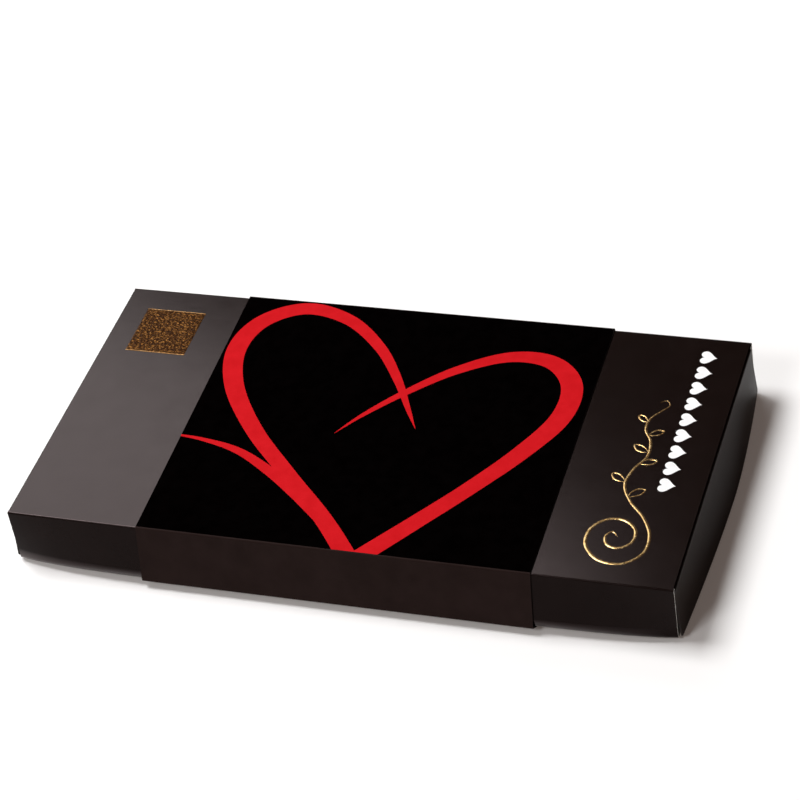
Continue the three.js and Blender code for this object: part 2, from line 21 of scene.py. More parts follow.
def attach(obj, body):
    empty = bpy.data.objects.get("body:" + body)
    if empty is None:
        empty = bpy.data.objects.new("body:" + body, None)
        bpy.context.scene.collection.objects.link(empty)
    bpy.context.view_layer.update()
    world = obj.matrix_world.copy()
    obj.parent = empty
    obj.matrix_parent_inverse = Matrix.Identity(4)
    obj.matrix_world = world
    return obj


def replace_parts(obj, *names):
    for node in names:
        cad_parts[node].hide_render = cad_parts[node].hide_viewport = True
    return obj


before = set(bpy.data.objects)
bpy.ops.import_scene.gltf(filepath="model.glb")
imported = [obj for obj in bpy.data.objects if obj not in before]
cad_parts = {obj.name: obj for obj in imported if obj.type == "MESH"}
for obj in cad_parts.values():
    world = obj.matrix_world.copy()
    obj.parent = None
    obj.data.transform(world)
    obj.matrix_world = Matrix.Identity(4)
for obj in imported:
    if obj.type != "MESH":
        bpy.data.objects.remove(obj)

log = logging.getLogger("heart_chocolate_box")

MM = 0.001
HAIR = 1e-6  # millimetres within which two places count as one

Point2 = tuple[float, float]
Point3 = tuple[float, float, float]
Colour = tuple[float, float, float]


class Body(Enum):
    """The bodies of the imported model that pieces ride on."""

    SHELL = "shell"
    BAND = "band"
    DRAWER = "drawer"


class Slot(Enum):
    """The record's material slots."""

    SHELL = "shell_board"
    BAND = "band_print"
    TRAY = "tray_board"
    CUP = "cup_paper"
    DARK = "dark_chocolate"
    RED = "red_chocolate"
    MILK = "milk_chocolate"


class Sort(Enum):
    """The three sorts of chocolate, in the order in which they fill the cells."""

    DOME = 0
    HEART = 1
    SQUARE = 2


class ShellLook(IntEnum):
    """Which of the shell's materials a face shows."""

    COAT = 0
    INSIDE = 1
    CUT = 2
    # the hem roll's outward faces: painted shade for the dark gap at the mouth
    PAINTED_SHADE_ROLL = 3


class SquareLook(IntEnum):
    """Which of the foil square's materials a face shows."""

    HAMMERED = 0
    RAIL = 1


class BandLook(IntEnum):
    """Which of the band's materials a face shows."""

    COAT = 0
    CORE = 1
    RED = 2
    BLACK = 3


class TrayLook(IntEnum):
    """Which of the drawer's materials a face shows."""

    COAT = 0
    CUT = 1
    CORE = 2


# Curves


def through(points: Sequence[Sequence[float]], steps: int) -> list[tuple[float, ...]]:
    """Runs a smooth curve through points of any number of coordinates.

    Args:
        points: The places that the curve passes, in order.
        steps: How many short lines stand between two of them.

    Returns:
        The points of the curve, both ends among them.
    """
    padded = [points[0], *points, points[-1]]
    out: list[tuple[float, ...]] = []
    for k in range(len(points) - 1):
        before, start, end, after = padded[k : k + 4]
        for step in range(steps):
            t = step / steps
            place = []
            for a, b, c, d in zip(before, start, end, after):
                bend = (2 * a - 5 * b + 4 * c - d) * t**2 + (3 * b - a - 3 * c + d) * t**3
                place.append(0.5 * (2 * b + (c - a) * t + bend))
            out.append(tuple(place))
    out.append(tuple(points[-1]))
    return out


def sides(line: Sequence[Sequence[float]]) -> list[tuple[Point2, Point2]]:
    """Finds the two edges of a brush stroke.

    Args:
        line: Points of the stroke's middle as x, y and width.

    Returns:
        The left and right edge point at every point of the line.
    """
    pairs = []
    for k, (x, y, width) in enumerate(line):
        back = line[max(k - 1, 0)]
        on = line[min(k + 1, len(line) - 1)]
        along = Vector((on[0] - back[0], on[1] - back[1])).normalized()
        across = Vector((-along.y, along.x)) * width / 2
        pairs.append(((x + across.x, y + across.y), (x - across.x, y - across.y)))
    return pairs


def outline_of(line: Sequence[Sequence[float]]) -> list[Point2]:
    """Gives the closed outline of a brush stroke from its middle line of x, y and width."""
    pairs = sides(line)
    return [left for left, _ in pairs] + [right for _, right in reversed(pairs)]


def encloses(outline: Sequence[Point2], x: float, y: float) -> bool:
    """Tells whether a point lies inside a closed outline, which may cross itself.

    Args:
        outline: The corners of the outline.
        x: The point's place along the first axis.
        y: The point's place along the second axis.

    Returns:
        True where the outline winds round the point.
    """
    turns = 0
    for (x0, y0), (x1, y1) in zip(outline, [*outline[1:], outline[0]]):
        side = (x1 - x0) * (y - y0) - (x - x0) * (y1 - y0)
        if y0 <= y < y1 and side > 0:
            turns += 1
        elif y1 <= y < y0 and side < 0:
            turns -= 1
    return turns != 0


HEART_SPAN = 32.0  # the width of the heart that heart_curve draws


def heart_curve(count: int, start: float = 0.5) -> list[Point2]:
    """Draws the usual sine and cosine heart, about 32 units wide and centred.

    Args:
        count: How many points go round it.
        start: Where the first point lies, in steps from the dip.

    Returns:
        The outline, counter-clockwise.
    """
    centring = 1.2
    points = []
    for k in range(count):
        t = -2 * math.pi * (k + start) / count
        x = 16 * math.sin(t) ** 3
        y = 13 * math.cos(t) - 5 * math.cos(2 * t) - 2 * math.cos(3 * t) - math.cos(4 * t)
        points.append((x, y + centring))
    return points


# Meshes


@dataclass
class Draft:
    """Points and faces of a piece while it is made, in millimetres.

    A face may carry the normals of its corners, so that long flat panels stay flat where a fold starts.
    """

    points: list[Point3] = field(default_factory=list)
    faces: list[tuple[int, ...]] = field(default_factory=list)
    looks: list[int] = field(default_factory=list)
    normals: list[Optional[tuple[Point3, ...]]] = field(default_factory=list)

    def face(
        self,
        corners: Sequence[Point3],
        look: int = 0,
        normals: Optional[Sequence[Point3]] = None,
    ) -> None:
        """Adds one face with corners of its own.

        Args:
            corners: The corners, counter-clockwise from outside.
            look: Which of the piece's materials it shows.
            normals: One normal for each corner, if they are known.
        """
        first = len(self.points)
        self.points.extend(corners)
        self.faces.append(tuple(range(first, first + len(corners))))
        self.looks.append(look)
        self.normals.append(tuple(normals) if normals else None)

    def grid(
        self,
        rows: Sequence[Sequence[Point3]],
        look: int = 0,
        closed: bool = False,
        flip: bool = False,
    ) -> None:
        """Adds a net of four-cornered faces that share their corners.

        Args:
            rows: Rows of points, all of one length.
            look: Which of the piece's materials it shows.
            closed: Whether the last point of a row joins the first.
            flip: Whether the faces turn their other side out.
        """
        first = len(self.points)
        count = len(rows[0])
        for row in rows:
            self.points.extend(row)
        for r in range(len(rows) - 1):
            for k in range(count if closed else count - 1):
                a = first + r * count + k
                b = first + r * count + (k + 1) % count
                corners = (a, b, b + count, a + count)
                self.faces.append(corners[::-1] if flip else corners)
                self.looks.append(look)
                self.normals.append(None)

    def prism(
        self,
        outline: Sequence[Point2],
        place: Callable[[float, float, float], Point3],
        low: float,
        high: float,
        looks: tuple[int, int, int],
    ) -> None:
        """Adds a flat plate between two copies of an outline.

        Args:
            outline: The plate's outline, counter-clockwise.
            place: Turns an outline point and a height into a place.
            low: The height of the first copy.
            high: The height of the second copy.
            looks: Materials of the lower face, the upper face and the cut edge.
        """
        under = [place(u, v, low) for u, v in outline]
        over = [place(u, v, high) for u, v in outline]
        self.face(under[::-1], looks[0])
        self.face(over, looks[1])
        count = len(outline)
        for k in range(count):
            n = (k + 1) % count
            self.face((under[k], under[n], over[n], over[k]), looks[2])

    def mirrored(self) -> "Draft":
        """Gives the same piece turned round to the other end of the box.

        Returns:
            The copy, with its faces outside out.
        """
        other = Draft()
        other.points = [(-x, y, z) for x, y, z in self.points]
        other.faces = [corners[::-1] for corners in self.faces]
        other.looks = list(self.looks)
        other.normals = [
            tuple((-x, y, z) for x, y, z in normals[::-1]) if normals else None for normals in self.normals
        ]
        return other

    def take(self, other: "Draft") -> None:
        """Adds all of another draft to this one.

        Args:
            other: The draft that is added.
        """
        first = len(self.points)
        self.points.extend(other.points)
        self.faces.extend(tuple(first + k for k in corners) for corners in other.faces)
        self.looks.extend(other.looks)
        self.normals.extend(other.normals)

    def make(
        self,
        name: str,
        body: Body,
        slot: Slot,
        materials: Sequence[bpy.types.Material],
        sharp: float = 40.0,
        weld: bool = False,
    ) -> bpy.types.Object:
        """slot: The record's slot that its main finish stands for; not used.
            materials: Its materials, in the order that the faces' looks count.
            sharp: Folds steeper than this, in degrees, keep a crisp edge.
            weld: Whether points at one place are joined.

        Returns:
            The new object, riding on its body.
        """
        mesh = bpy.data.meshes.new(name)
        scaled = [(x * MM, y * MM, z * MM) for x, y, z in self.points]
        mesh.from_pydata(scaled, [], self.faces)
        for material in materials:
            mesh.materials.append(material)
        mesh.polygons.foreach_set("material_index", self.looks)
        if weld:
            work = bmesh.new()
            work.from_mesh(mesh)
            bmesh.ops.remove_doubles(work, verts=work.verts, dist=1e-6)
            bmesh.ops.recalc_face_normals(work, faces=work.faces)
            work.to_mesh(mesh)
            work.free()
        mesh.shade_smooth()
        mesh.set_sharp_from_angle(angle=math.radians(sharp))
        if any(self.normals) and not weld:
            split: list[Point3] = []
            for corners, normals in zip(self.faces, self.normals):
                split.extend(normals if normals else [(0.0, 0.0, 0.0)] * len(corners))
            mesh.normals_split_custom_set(split)
        mesh.validate()
        piece = bpy.data.objects.new(name, mesh)
        bpy.context.scene.collection.objects.link(piece)
        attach(piece, body.value)
        log.info("made %s, %d faces", name, len(mesh.polygons))
        return piece


# Finishes


class Wiring:
    """Adds and joins the shader nodes of one material."""

    def __init__(self, name: str) -> None:
        """Starts a material with one principled shader.

        Args:
            name: The material's name.
        """
        self.material = bpy.data.materials.new(name)
        self.material.use_nodes = True
        self.nodes = self.material.node_tree.nodes
        self.links = self.material.node_tree.links
        self.shader = self.nodes["Principled BSDF"]
        self.place = self.nodes.new("ShaderNodeTexCoord").outputs["Object"]

    def fix(self, **values: float | Colour) -> None:
        """Sets sockets of the shader to plain values, named with _ for a space."""
        for key, value in values.items():
            socket = self.shader.inputs[key.replace("_", " ")]
            socket.default_value = (*value, 1.0) if isinstance(value, tuple) else value

    def stretched(self, scale: Point3, turn: float = 0.0) -> bpy.types.NodeSocket:
        """Gives object coordinates stretched by three factors and turned about Z.

        Args:
            scale: The factors along X, Y and Z.
            turn: The turn in radians.

        Returns:
            The coordinates' socket.
        """
        mapping = self.nodes.new("ShaderNodeMapping")
        mapping.inputs["Scale"].default_value = scale
        mapping.inputs["Rotation"].default_value = (0.0, 0.0, turn)
        self.links.new(self.place, mapping.inputs["Vector"])
        return mapping.outputs["Vector"]

    def noise(
        self,
        size_mm: float,
        detail: float = 3.0,
        roughness: float = 0.5,
        where: Optional[bpy.types.NodeSocket] = None,
    ) -> bpy.types.NodeSocket:
        """Adds a cloudy texture.

        Args:
            size_mm: The size of its blobs.
            detail: How many finer layers lie on them.
            roughness: How strong these layers are.
            where: The coordinates, or None for the object's own.

        Returns:
            A socket from 0 to 1.
        """
        node = self.nodes.new("ShaderNodeTexNoise")
        node.inputs["Scale"].default_value = 1.0 / (size_mm * MM)
        node.inputs["Detail"].default_value = detail
        node.inputs["Roughness"].default_value = roughness
        self.links.new(where or self.place, node.inputs["Vector"])
        return node.outputs["Fac"]

    def cells(self, size_mm: float, smooth: float) -> bpy.types.NodeSocket:
        """Adds a texture of rounded cells.

        Args:
            size_mm: The size of a cell.
            smooth: How softly the cells run into each other.

        Returns:
            The distance from a cell's middle.
        """
        node = self.nodes.new("ShaderNodeTexVoronoi")
        node.feature = "SMOOTH_F1"
        node.inputs["Scale"].default_value = 1.0 / (size_mm * MM)
        node.inputs["Smoothness"].default_value = smooth
        self.links.new(self.place, node.inputs["Vector"])
        return node.outputs["Distance"]

    def ramp(
        self, value: bpy.types.NodeSocket, stops: Sequence[tuple[float, Colour]]
    ) -> bpy.types.NodeSocket:
        """Turns a value into a colour.

        Args:
            value: The socket that drives it.
            stops: Places from 0 to 1 with their colours.

        Returns:
            The colour's socket.
        """
        node = self.nodes.new("ShaderNodeValToRGB")
        elements = node.color_ramp.elements
        while len(elements) < len(stops):
            elements.new(0.5)
        for element, (place, colour) in zip(elements, stops):
            element.position = place
            element.color = (*colour, 1.0)
        self.links.new(value, node.inputs["Fac"])
        return node.outputs["Color"]

    def slope(
        self, value: bpy.types.NodeSocket, start: float, end: float, low: float, high: float
    ) -> bpy.types.NodeSocket:
        """Maps the values from a start to an end to a low to a high value, and clamps the rest.

        Args:
            value: The socket to map.
            start: The value that gives the low one.
            end: The value that gives the high one.
            low: What the start gives.
            high: What the end gives.

        Returns:
            The mapped value's socket.
        """
        node = self.nodes.new("ShaderNodeMapRange")
        for key, number in (("From Min", start), ("From Max", end), ("To Min", low), ("To Max", high)):
            node.inputs[key].default_value = number
        self.links.new(value, node.inputs["Value"])
        return node.outputs["Result"]

    def span(self, value: bpy.types.NodeSocket, low: float, high: float) -> bpy.types.NodeSocket:
        """Maps 0.25 to 0.75, where a cloudy texture mostly lies, to a low and a high value."""
        return self.slope(value, 0.25, 0.75, low, high)

    def parts(self, vector: bpy.types.NodeSocket) -> tuple[bpy.types.NodeSocket, ...]:
        """Parts a vector into X, Y and Z.

        Args:
            vector: The socket that carries it.

        Returns:
            The three sockets.
        """
        node = self.nodes.new("ShaderNodeSeparateXYZ")
        self.links.new(vector, node.inputs[0])
        return tuple(node.outputs)

    def combine(self, operation: str, *values: bpy.types.NodeSocket) -> bpy.types.NodeSocket:
        """Adds a mathematical operation on values.

        Args:
            operation: The operation's name in the node.
            values: The sockets that it works on.

        Returns:
            The result's socket.
        """
        node = self.nodes.new("ShaderNodeMath")
        node.operation = operation
        for value, socket in zip(values, node.inputs):
            self.links.new(value, socket)
        return node.outputs[0]

    def uprightness(self) -> bpy.types.NodeSocket:
        """Gives 1 where the surface faces up, 0 on walls and -1 on undersides."""
        return self.parts(self.nodes.new("ShaderNodeTexCoord").outputs["Normal"])[2]

    def drive(self, socket: str, source: bpy.types.NodeSocket) -> None:
        """Joins a texture to a socket of the shader."""
        self.links.new(source, self.shader.inputs[socket])

    def relief(self, layers: Iterable[tuple[bpy.types.NodeSocket, float]]) -> None:
        """Raises the surface by textures.

        Args:
            layers: Heights from 0 to 1, each with how many millimetres 1 stands for.
        """
        normal: Optional[bpy.types.NodeSocket] = None
        for height, depth_mm in layers:
            bump = self.nodes.new("ShaderNodeBump")
            bump.inputs["Strength"].default_value = 1.0
            bump.inputs["Distance"].default_value = depth_mm * MM
            self.links.new(height, bump.inputs["Height"])
            if normal is not None:
                self.links.new(normal, bump.inputs["Normal"])
            normal = bump.outputs["Normal"]
        if normal is not None:
            self.links.new(normal, self.shader.inputs["Normal"])


@dataclass(frozen=True)
class CoatedBoard:
    """Folding board with a dark, satin coat: faint mottling, fine tooth and slightly wavy panels.

    The coat shines by `specular` on walls, by `sheen` on panels that face up and by `burnish` more where
    the foot folds are rubbed, away from the right mouth. Each pair of burnish places runs from where the
    rubbing starts to where it is full, and `level_from` from a wall's uprightness to a panel's.
    """

    name: str
    deep: Colour
    pale: Colour
    roughness: tuple[float, float] = (0.14, 0.18)
    specular: float = 0.085
    sheen: float = 0.31
    tooth_mm: float = 0.45
    tooth_depth_mm: float = 0.004
    wave_depth_mm: float = 0.10
    tint: Colour = (1.0, 0.77, 0.77)
    burnish: float = 0.0
    burnish_z_mm: tuple[float, float] = (9.0, 3.5)
    burnish_x_mm: tuple[float, float] = (160.0, 105.0)
    level_from: tuple[float, float] = (0.9, 0.99)
    mottle_mm: float = 14.0
    fibre_mm: float = 3.0
    wave_mm: float = 70.0

    def material(self) -> bpy.types.Material:
        """Builds the material.

        Returns:
            The finished material.
        """
        wiring = Wiring(self.name)
        mottling = wiring.noise(self.mottle_mm, detail=5.0, roughness=0.6)
        wiring.drive("Base Color", wiring.ramp(mottling, [(0.3, self.deep), (0.7, self.pale)]))
        wiring.drive("Roughness", wiring.span(wiring.noise(9.0, detail=4.0), *self.roughness))
        shine = wiring.slope(wiring.uprightness(), *self.level_from, self.specular, self.sheen)
        if self.burnish:
            x, _, z = wiring.parts(wiring.place)
            (above, below), (right, left) = self.burnish_z_mm, self.burnish_x_mm
            rubbed = wiring.slope(z, above * MM, below * MM, 0.0, self.burnish)
            along = wiring.slope(x, right * MM, left * MM, 0.0, 1.0)
            shine = wiring.combine("ADD", shine, wiring.combine("MULTIPLY", rubbed, along))
        wiring.fix(Specular_IOR_Level=(self.specular + self.sheen) / 2, Specular_Tint=self.tint)
        wiring.drive("Specular IOR Level", shine)
        tooth = wiring.noise(self.tooth_mm, detail=4.0, roughness=0.65)
        fibres = wiring.noise(self.fibre_mm, detail=2.0, where=wiring.stretched((0.35, 1.0, 1.0)))
        waves = wiring.noise(self.wave_mm, detail=0.0)
        wiring.relief(
            [(waves, self.wave_depth_mm), (fibres, self.tooth_depth_mm * 2), (tooth, self.tooth_depth_mm)]
        )
        return wiring.material


@dataclass(frozen=True)
class BareBoard:
    """Uncoated board, on its inside or its cut edge: off-white with small fibres."""

    name: str
    base: Colour
    fleck: Colour

    def material(self) -> bpy.types.Material:
        """Builds the material.

        Returns:
            The finished material.
        """
        wiring = Wiring(self.name)
        fibres = wiring.noise(1.2, detail=6.0, roughness=0.7, where=wiring.stretched((0.3, 1.0, 1.0), 0.3))
        wiring.drive("Base Color", wiring.ramp(fibres, [(0.28, self.fleck), (0.42, self.base)]))
        wiring.drive("Roughness", wiring.span(wiring.noise(4.0), 0.75, 0.9))
        wiring.fix(Specular_IOR_Level=0.2)
        wiring.relief([(fibres, 0.02)])
        return wiring.material


@dataclass(frozen=True)
class Ink:
    """Printed ink, hardly glossier than the paper under it."""

    name: str
    deep: Colour
    pale: Colour
    roughness: float = 0.5
    specular: float = 0.1
    spread: float = 0.05

    def material(self) -> bpy.types.Material:
        """Builds the material.

        Returns:
            The finished material.
        """
        wiring = Wiring(self.name)
        wiring.drive("Base Color", wiring.ramp(wiring.noise(6.0, 5.0), [(0.3, self.deep), (0.7, self.pale)]))
        low, high = self.roughness - self.spread, self.roughness + self.spread
        wiring.drive("Roughness", wiring.span(wiring.noise(2.0), low, high))
        wiring.fix(Specular_IOR_Level=self.specular)
        wiring.relief([(wiring.noise(0.45, 4.0, 0.65), 0.004)])
        return wiring.material


@dataclass(frozen=True)
class Foil:
    """Hot-stamped gold foil, smooth or hammered; its colour follows the dents, with painted shade in the
    hollows and painted highlights on the ridges.
    """

    name: str
    shaded_hollow: Colour
    middle: Colour
    ridge: Colour
    hammer_mm: float
    hammer_depth_mm: float
    roughness: tuple[float, float]

    def material(self) -> bpy.types.Material:
        """Builds the material.

        Returns:
            The finished material.
        """
        wiring = Wiring(self.name)
        cells = wiring.cells(self.hammer_mm, 0.3)
        patches = wiring.noise(self.hammer_mm * 0.8, detail=4.0, roughness=0.7)
        # painted shade in the hollows and painted highlights on the ridges: the colour follows the same noise
        # that raises the dents
        stops = [(0.36, self.shaded_hollow), (0.52, self.middle), (0.66, self.ridge)]
        wiring.drive("Base Color", wiring.ramp(patches, stops))
        wiring.drive("Roughness", wiring.span(patches, *self.roughness))
        wiring.fix(Metallic=1.0)
        wiring.relief([(cells, self.hammer_depth_mm), (patches, self.hammer_depth_mm * 0.6)])
        return wiring.material


@dataclass(frozen=True)
class PleatedPaper:
    """Brown greaseproof paper of the cups."""

    name: str
    deep: Colour
    pale: Colour

    def material(self) -> bpy.types.Material:
        """Builds the material.

        Returns:
            The finished material.
        """
        wiring = Wiring(self.name)
        fibres = wiring.noise(1.6, detail=6.0, roughness=0.7)
        wiring.drive("Base Color", wiring.ramp(fibres, [(0.3, self.deep), (0.7, self.pale)]))
        wiring.drive("Roughness", wiring.span(wiring.noise(3.0), 0.5, 0.65))
        wiring.fix(Specular_IOR_Level=0.35)
        wiring.relief([(fibres, 0.015)])
        return wiring.material


@dataclass(frozen=True)
class Couverture:
    """Set chocolate: a soft gloss over slow waves, with fine bloom and a few pinholes."""

    name: str
    deep: Colour
    pale: Colour
    roughness: tuple[float, float] = (0.26, 0.38)

    def material(self) -> bpy.types.Material:
        """Builds the material.

        Returns:
            The finished material.
        """
        wiring = Wiring(self.name)
        clouds = wiring.noise(7.0, detail=5.0, roughness=0.55)
        wiring.drive("Base Color", wiring.ramp(clouds, [(0.3, self.deep), (0.72, self.pale)]))
        wiring.drive("Roughness", wiring.span(wiring.noise(4.0, detail=5.0), *self.roughness))
        wiring.fix(Specular_IOR_Level=0.45, Subsurface_Weight=0.05)
        pinholes = wiring.cells(2.4, 0.1)
        wiring.relief([(wiring.noise(9.0, 1.0), 0.35), (wiring.noise(0.8, 3.0), 0.012), (pinholes, 0.02)])
        return wiring.material


@dataclass(frozen=True)
class Palette:
    """All finishes of the box."""

    shell: CoatedBoard = CoatedBoard(
        "black_shell_board", (0.0036, 0.0016, 0.0011), (0.0056, 0.0028, 0.0022), specular=0.07, burnish=0.6
    )
    band: CoatedBoard = CoatedBoard(
        "black_band_paper", (0.0110, 0.0056, 0.0046), (0.0165, 0.0090, 0.0078), (0.5, 0.58), 0.05, 0.05
    )
    # near-black roll finish without reflection: painted shade for the dark gap between the top panel's end
    # and the drawer's end wall
    roll: Ink = Ink("roll_painted_shade", (0.0010, 0.0006, 0.0005), (0.0022, 0.0014, 0.0012), 0.7, 0.0)
    dyed: BareBoard = BareBoard("dyed_band_core", (0.020, 0.015, 0.014), (0.011, 0.008, 0.0075))
    black: Ink = Ink("black_band_ink", (0.0004, 0.0002, 0.0002), (0.0010, 0.0006, 0.0006), 0.62, 0.0)
    tray: CoatedBoard = CoatedBoard(
        "black_tray_board", (0.0085, 0.0046, 0.0035), (0.0125, 0.0074, 0.0058), (0.21, 0.26), 0.02, 0.1
    )
    divider: CoatedBoard = CoatedBoard(
        "brown_divider_board",
        (0.012, 0.0075, 0.0055),
        (0.022, 0.014, 0.010),
        (0.6, 0.75),
        specular=0.2,
        sheen=0.2,
        tooth_mm=0.6,
        tooth_depth_mm=0.012,
        wave_depth_mm=0.2,
    )
    inside: BareBoard = BareBoard("bare_board_inside", (0.60, 0.58, 0.54), (0.42, 0.38, 0.33))
    cut: BareBoard = BareBoard("board_cut_edge", (0.82, 0.79, 0.75), (0.58, 0.54, 0.49))
    red: Ink = Ink("red_ink", (0.52, 0.0062, 0.0100), (0.58, 0.0086, 0.0135), 0.6, 0.02)
    white: Ink = Ink("white_ink", (0.86, 0.86, 0.86), (0.95, 0.95, 0.95))
    # its dark hollow and bright ridge colours are painted shade and painted glints
    hammered: Foil = Foil(
        "hammered_gold_foil",
        (0.014, 0.0040, 0.0009),
        (0.050, 0.0170, 0.0030),
        (0.32, 0.145, 0.036),
        1.3,
        0.22,
        (0.26, 0.42),
    )
    rail: Foil = Foil(
        "dull_gold_rail",
        (0.15, 0.075, 0.025),
        (0.24, 0.13, 0.05),
        (0.36, 0.22, 0.10),
        2.2,
        0.04,
        (0.3, 0.45),
    )
    gold: Foil = Foil(
        "smooth_gold_foil",
        (0.48, 0.30, 0.12),
        (0.68, 0.46, 0.20),
        (0.86, 0.63, 0.32),
        2.2,
        0.04,
        (0.18, 0.3),
    )
    cup: PleatedPaper = PleatedPaper("brown_cup_paper", (0.035, 0.014, 0.007), (0.062, 0.027, 0.013))
    dark: Couverture = Couverture("dark_chocolate_coat", (0.016, 0.0055, 0.003), (0.028, 0.010, 0.0055))
    ruby: Couverture = Couverture("red_chocolate_coat", (0.24, 0.006, 0.009), (0.33, 0.011, 0.015))
    milk: Couverture = Couverture("milk_chocolate_coat", (0.115, 0.042, 0.017), (0.165, 0.066, 0.028))


PALETTE = Palette()


# The folded board


@dataclass
class Fold:
    """A closed outline in Y and Z with rounded folds, counter-clockwise from the front of its bottom."""

    corners: tuple[Point2, ...]
    radii: tuple[float, ...]
    marks: tuple[float, ...] = ()
    steps: int = 10

    def arc(self, index: int) -> list[tuple[float, float, float, float]]:
        """Rounds one corner: lists y, z and the outward normal's y and z.

        Args:
            index: Which corner it is.

        Returns:
            The points of the rounding, in order.
        """
        here = Vector(self.corners[index])
        back = (Vector(self.corners[index - 1]) - here).normalized()
        on = (Vector(self.corners[(index + 1) % len(self.corners)]) - here).normalized()
        half, radius = back.angle(on) / 2, self.radii[index]
        middle = here + (back + on).normalized() * (radius / math.sin(half))
        start = here + back * (middle - here).dot(back) - middle
        out = []
        for step in range(self.steps + 1):
            turn = (math.pi - 2 * half) * step / self.steps
            ny = (start.x * math.cos(turn) - start.y * math.sin(turn)) / radius
            nz = (start.x * math.sin(turn) + start.y * math.cos(turn)) / radius
            out.append((middle.x + radius * ny, middle.y + radius * nz, ny, nz))
        return out

    def points(self) -> list[tuple[float, float, float, float]]:
        """Lists y, z and the outward normal's y and z all the way round.

        Returns:
            The points, with a flat top's marks among them.
        """
        top = max(z for _, z in self.corners)
        out = []
        for index, (_, z) in enumerate(self.corners):
            out.extend(self.arc(index))
            if z == top == self.corners[(index + 1) % len(self.corners)][1]:
                out.extend((mark, top, 0.0, 1.0) for mark in sorted(self.marks, reverse=True))
        return out

    def shrunk(self, board: float) -> "Fold":
        """Gives the fold's other side, one board's thickness in.

        Args:
            board: How far in it lies.

        Returns:
            The outline there, with its folds as much tighter.
        """
        moved = []
        for index, corner in enumerate(self.corners):
            here = Vector(corner)
            before = (here - Vector(self.corners[index - 1])).normalized()
            after = (Vector(self.corners[(index + 1) % len(self.corners)]) - here).normalized()
            inward = Vector((-before.y - after.y, before.x + after.x))
            place = here + inward * (board / (1 + before.dot(after)))
            moved.append((place.x, round(place.y, 9)))
        return Fold(tuple(moved), tuple(radius - board for radius in self.radii), self.marks, self.steps)


Ring = list[tuple[Point3, Point3]]
Skip = Callable[[float, float, float], bool]


def wrap(draft: Draft, rings: Sequence[Ring], look: int, inward: bool, skip: Skip) -> None:
    """Lays a skin along X over rings of points with outward normals.

    Both sides of a board part along the same diagonals, so that they never cross where it is warped.

    Args:
        draft: The draft that takes the faces.
        rings: The rings, from -X to +X.
        look: The material of the skin.
        inward: Whether the skin shows its inside.
        skip: Says of a face's middle x and of its two y places whether it is left out.
    """
    sign = -1.0 if inward else 1.0
    for left, right in zip(rings, rings[1:]):
        for k in range(len(left)):
            n = (k + 1) % len(left)
            (x, y0, z0), (_, y1, z1) = left[k][0], left[n][0]
            if abs(y1 - y0) + abs(z1 - z0) < 1e-9 or skip((x + right[k][0][0]) / 2, y0, y1):
                continue
            for ends in ((left[k], right[k], right[n]), (left[k], right[n], left[n])):
                corners = [point for point, _ in ends]
                normals = [(sign * nx, sign * ny, sign * nz) for _, (nx, ny, nz) in ends]
                if inward:
                    draft.face(corners, look, normals)
                else:
                    draft.face(corners[::-1], look, normals[::-1])


def rim(draft: Draft, outer: Ring, inner: Ring, look: int, skip: Skip) -> None:
    """Closes the board's cut edge between the two sides of a fold at one end.

    Args:
        draft: The draft that takes the faces.
        outer: The outside of the fold there.
        inner: The inside of the fold there.
        look: The material of the edge.
        skip: Says of a face's x and of its two y places whether it is left out.
    """
    for k in range(len(outer)):
        n = (k + 1) % len(outer)
        corners = [outer[k][0], outer[n][0], inner[n][0], inner[k][0]]
        x = corners[0][0]
        if not skip(x, corners[0][1], corners[1][1]):
            draft.face(corners if x > 0 else corners[::-1], look)


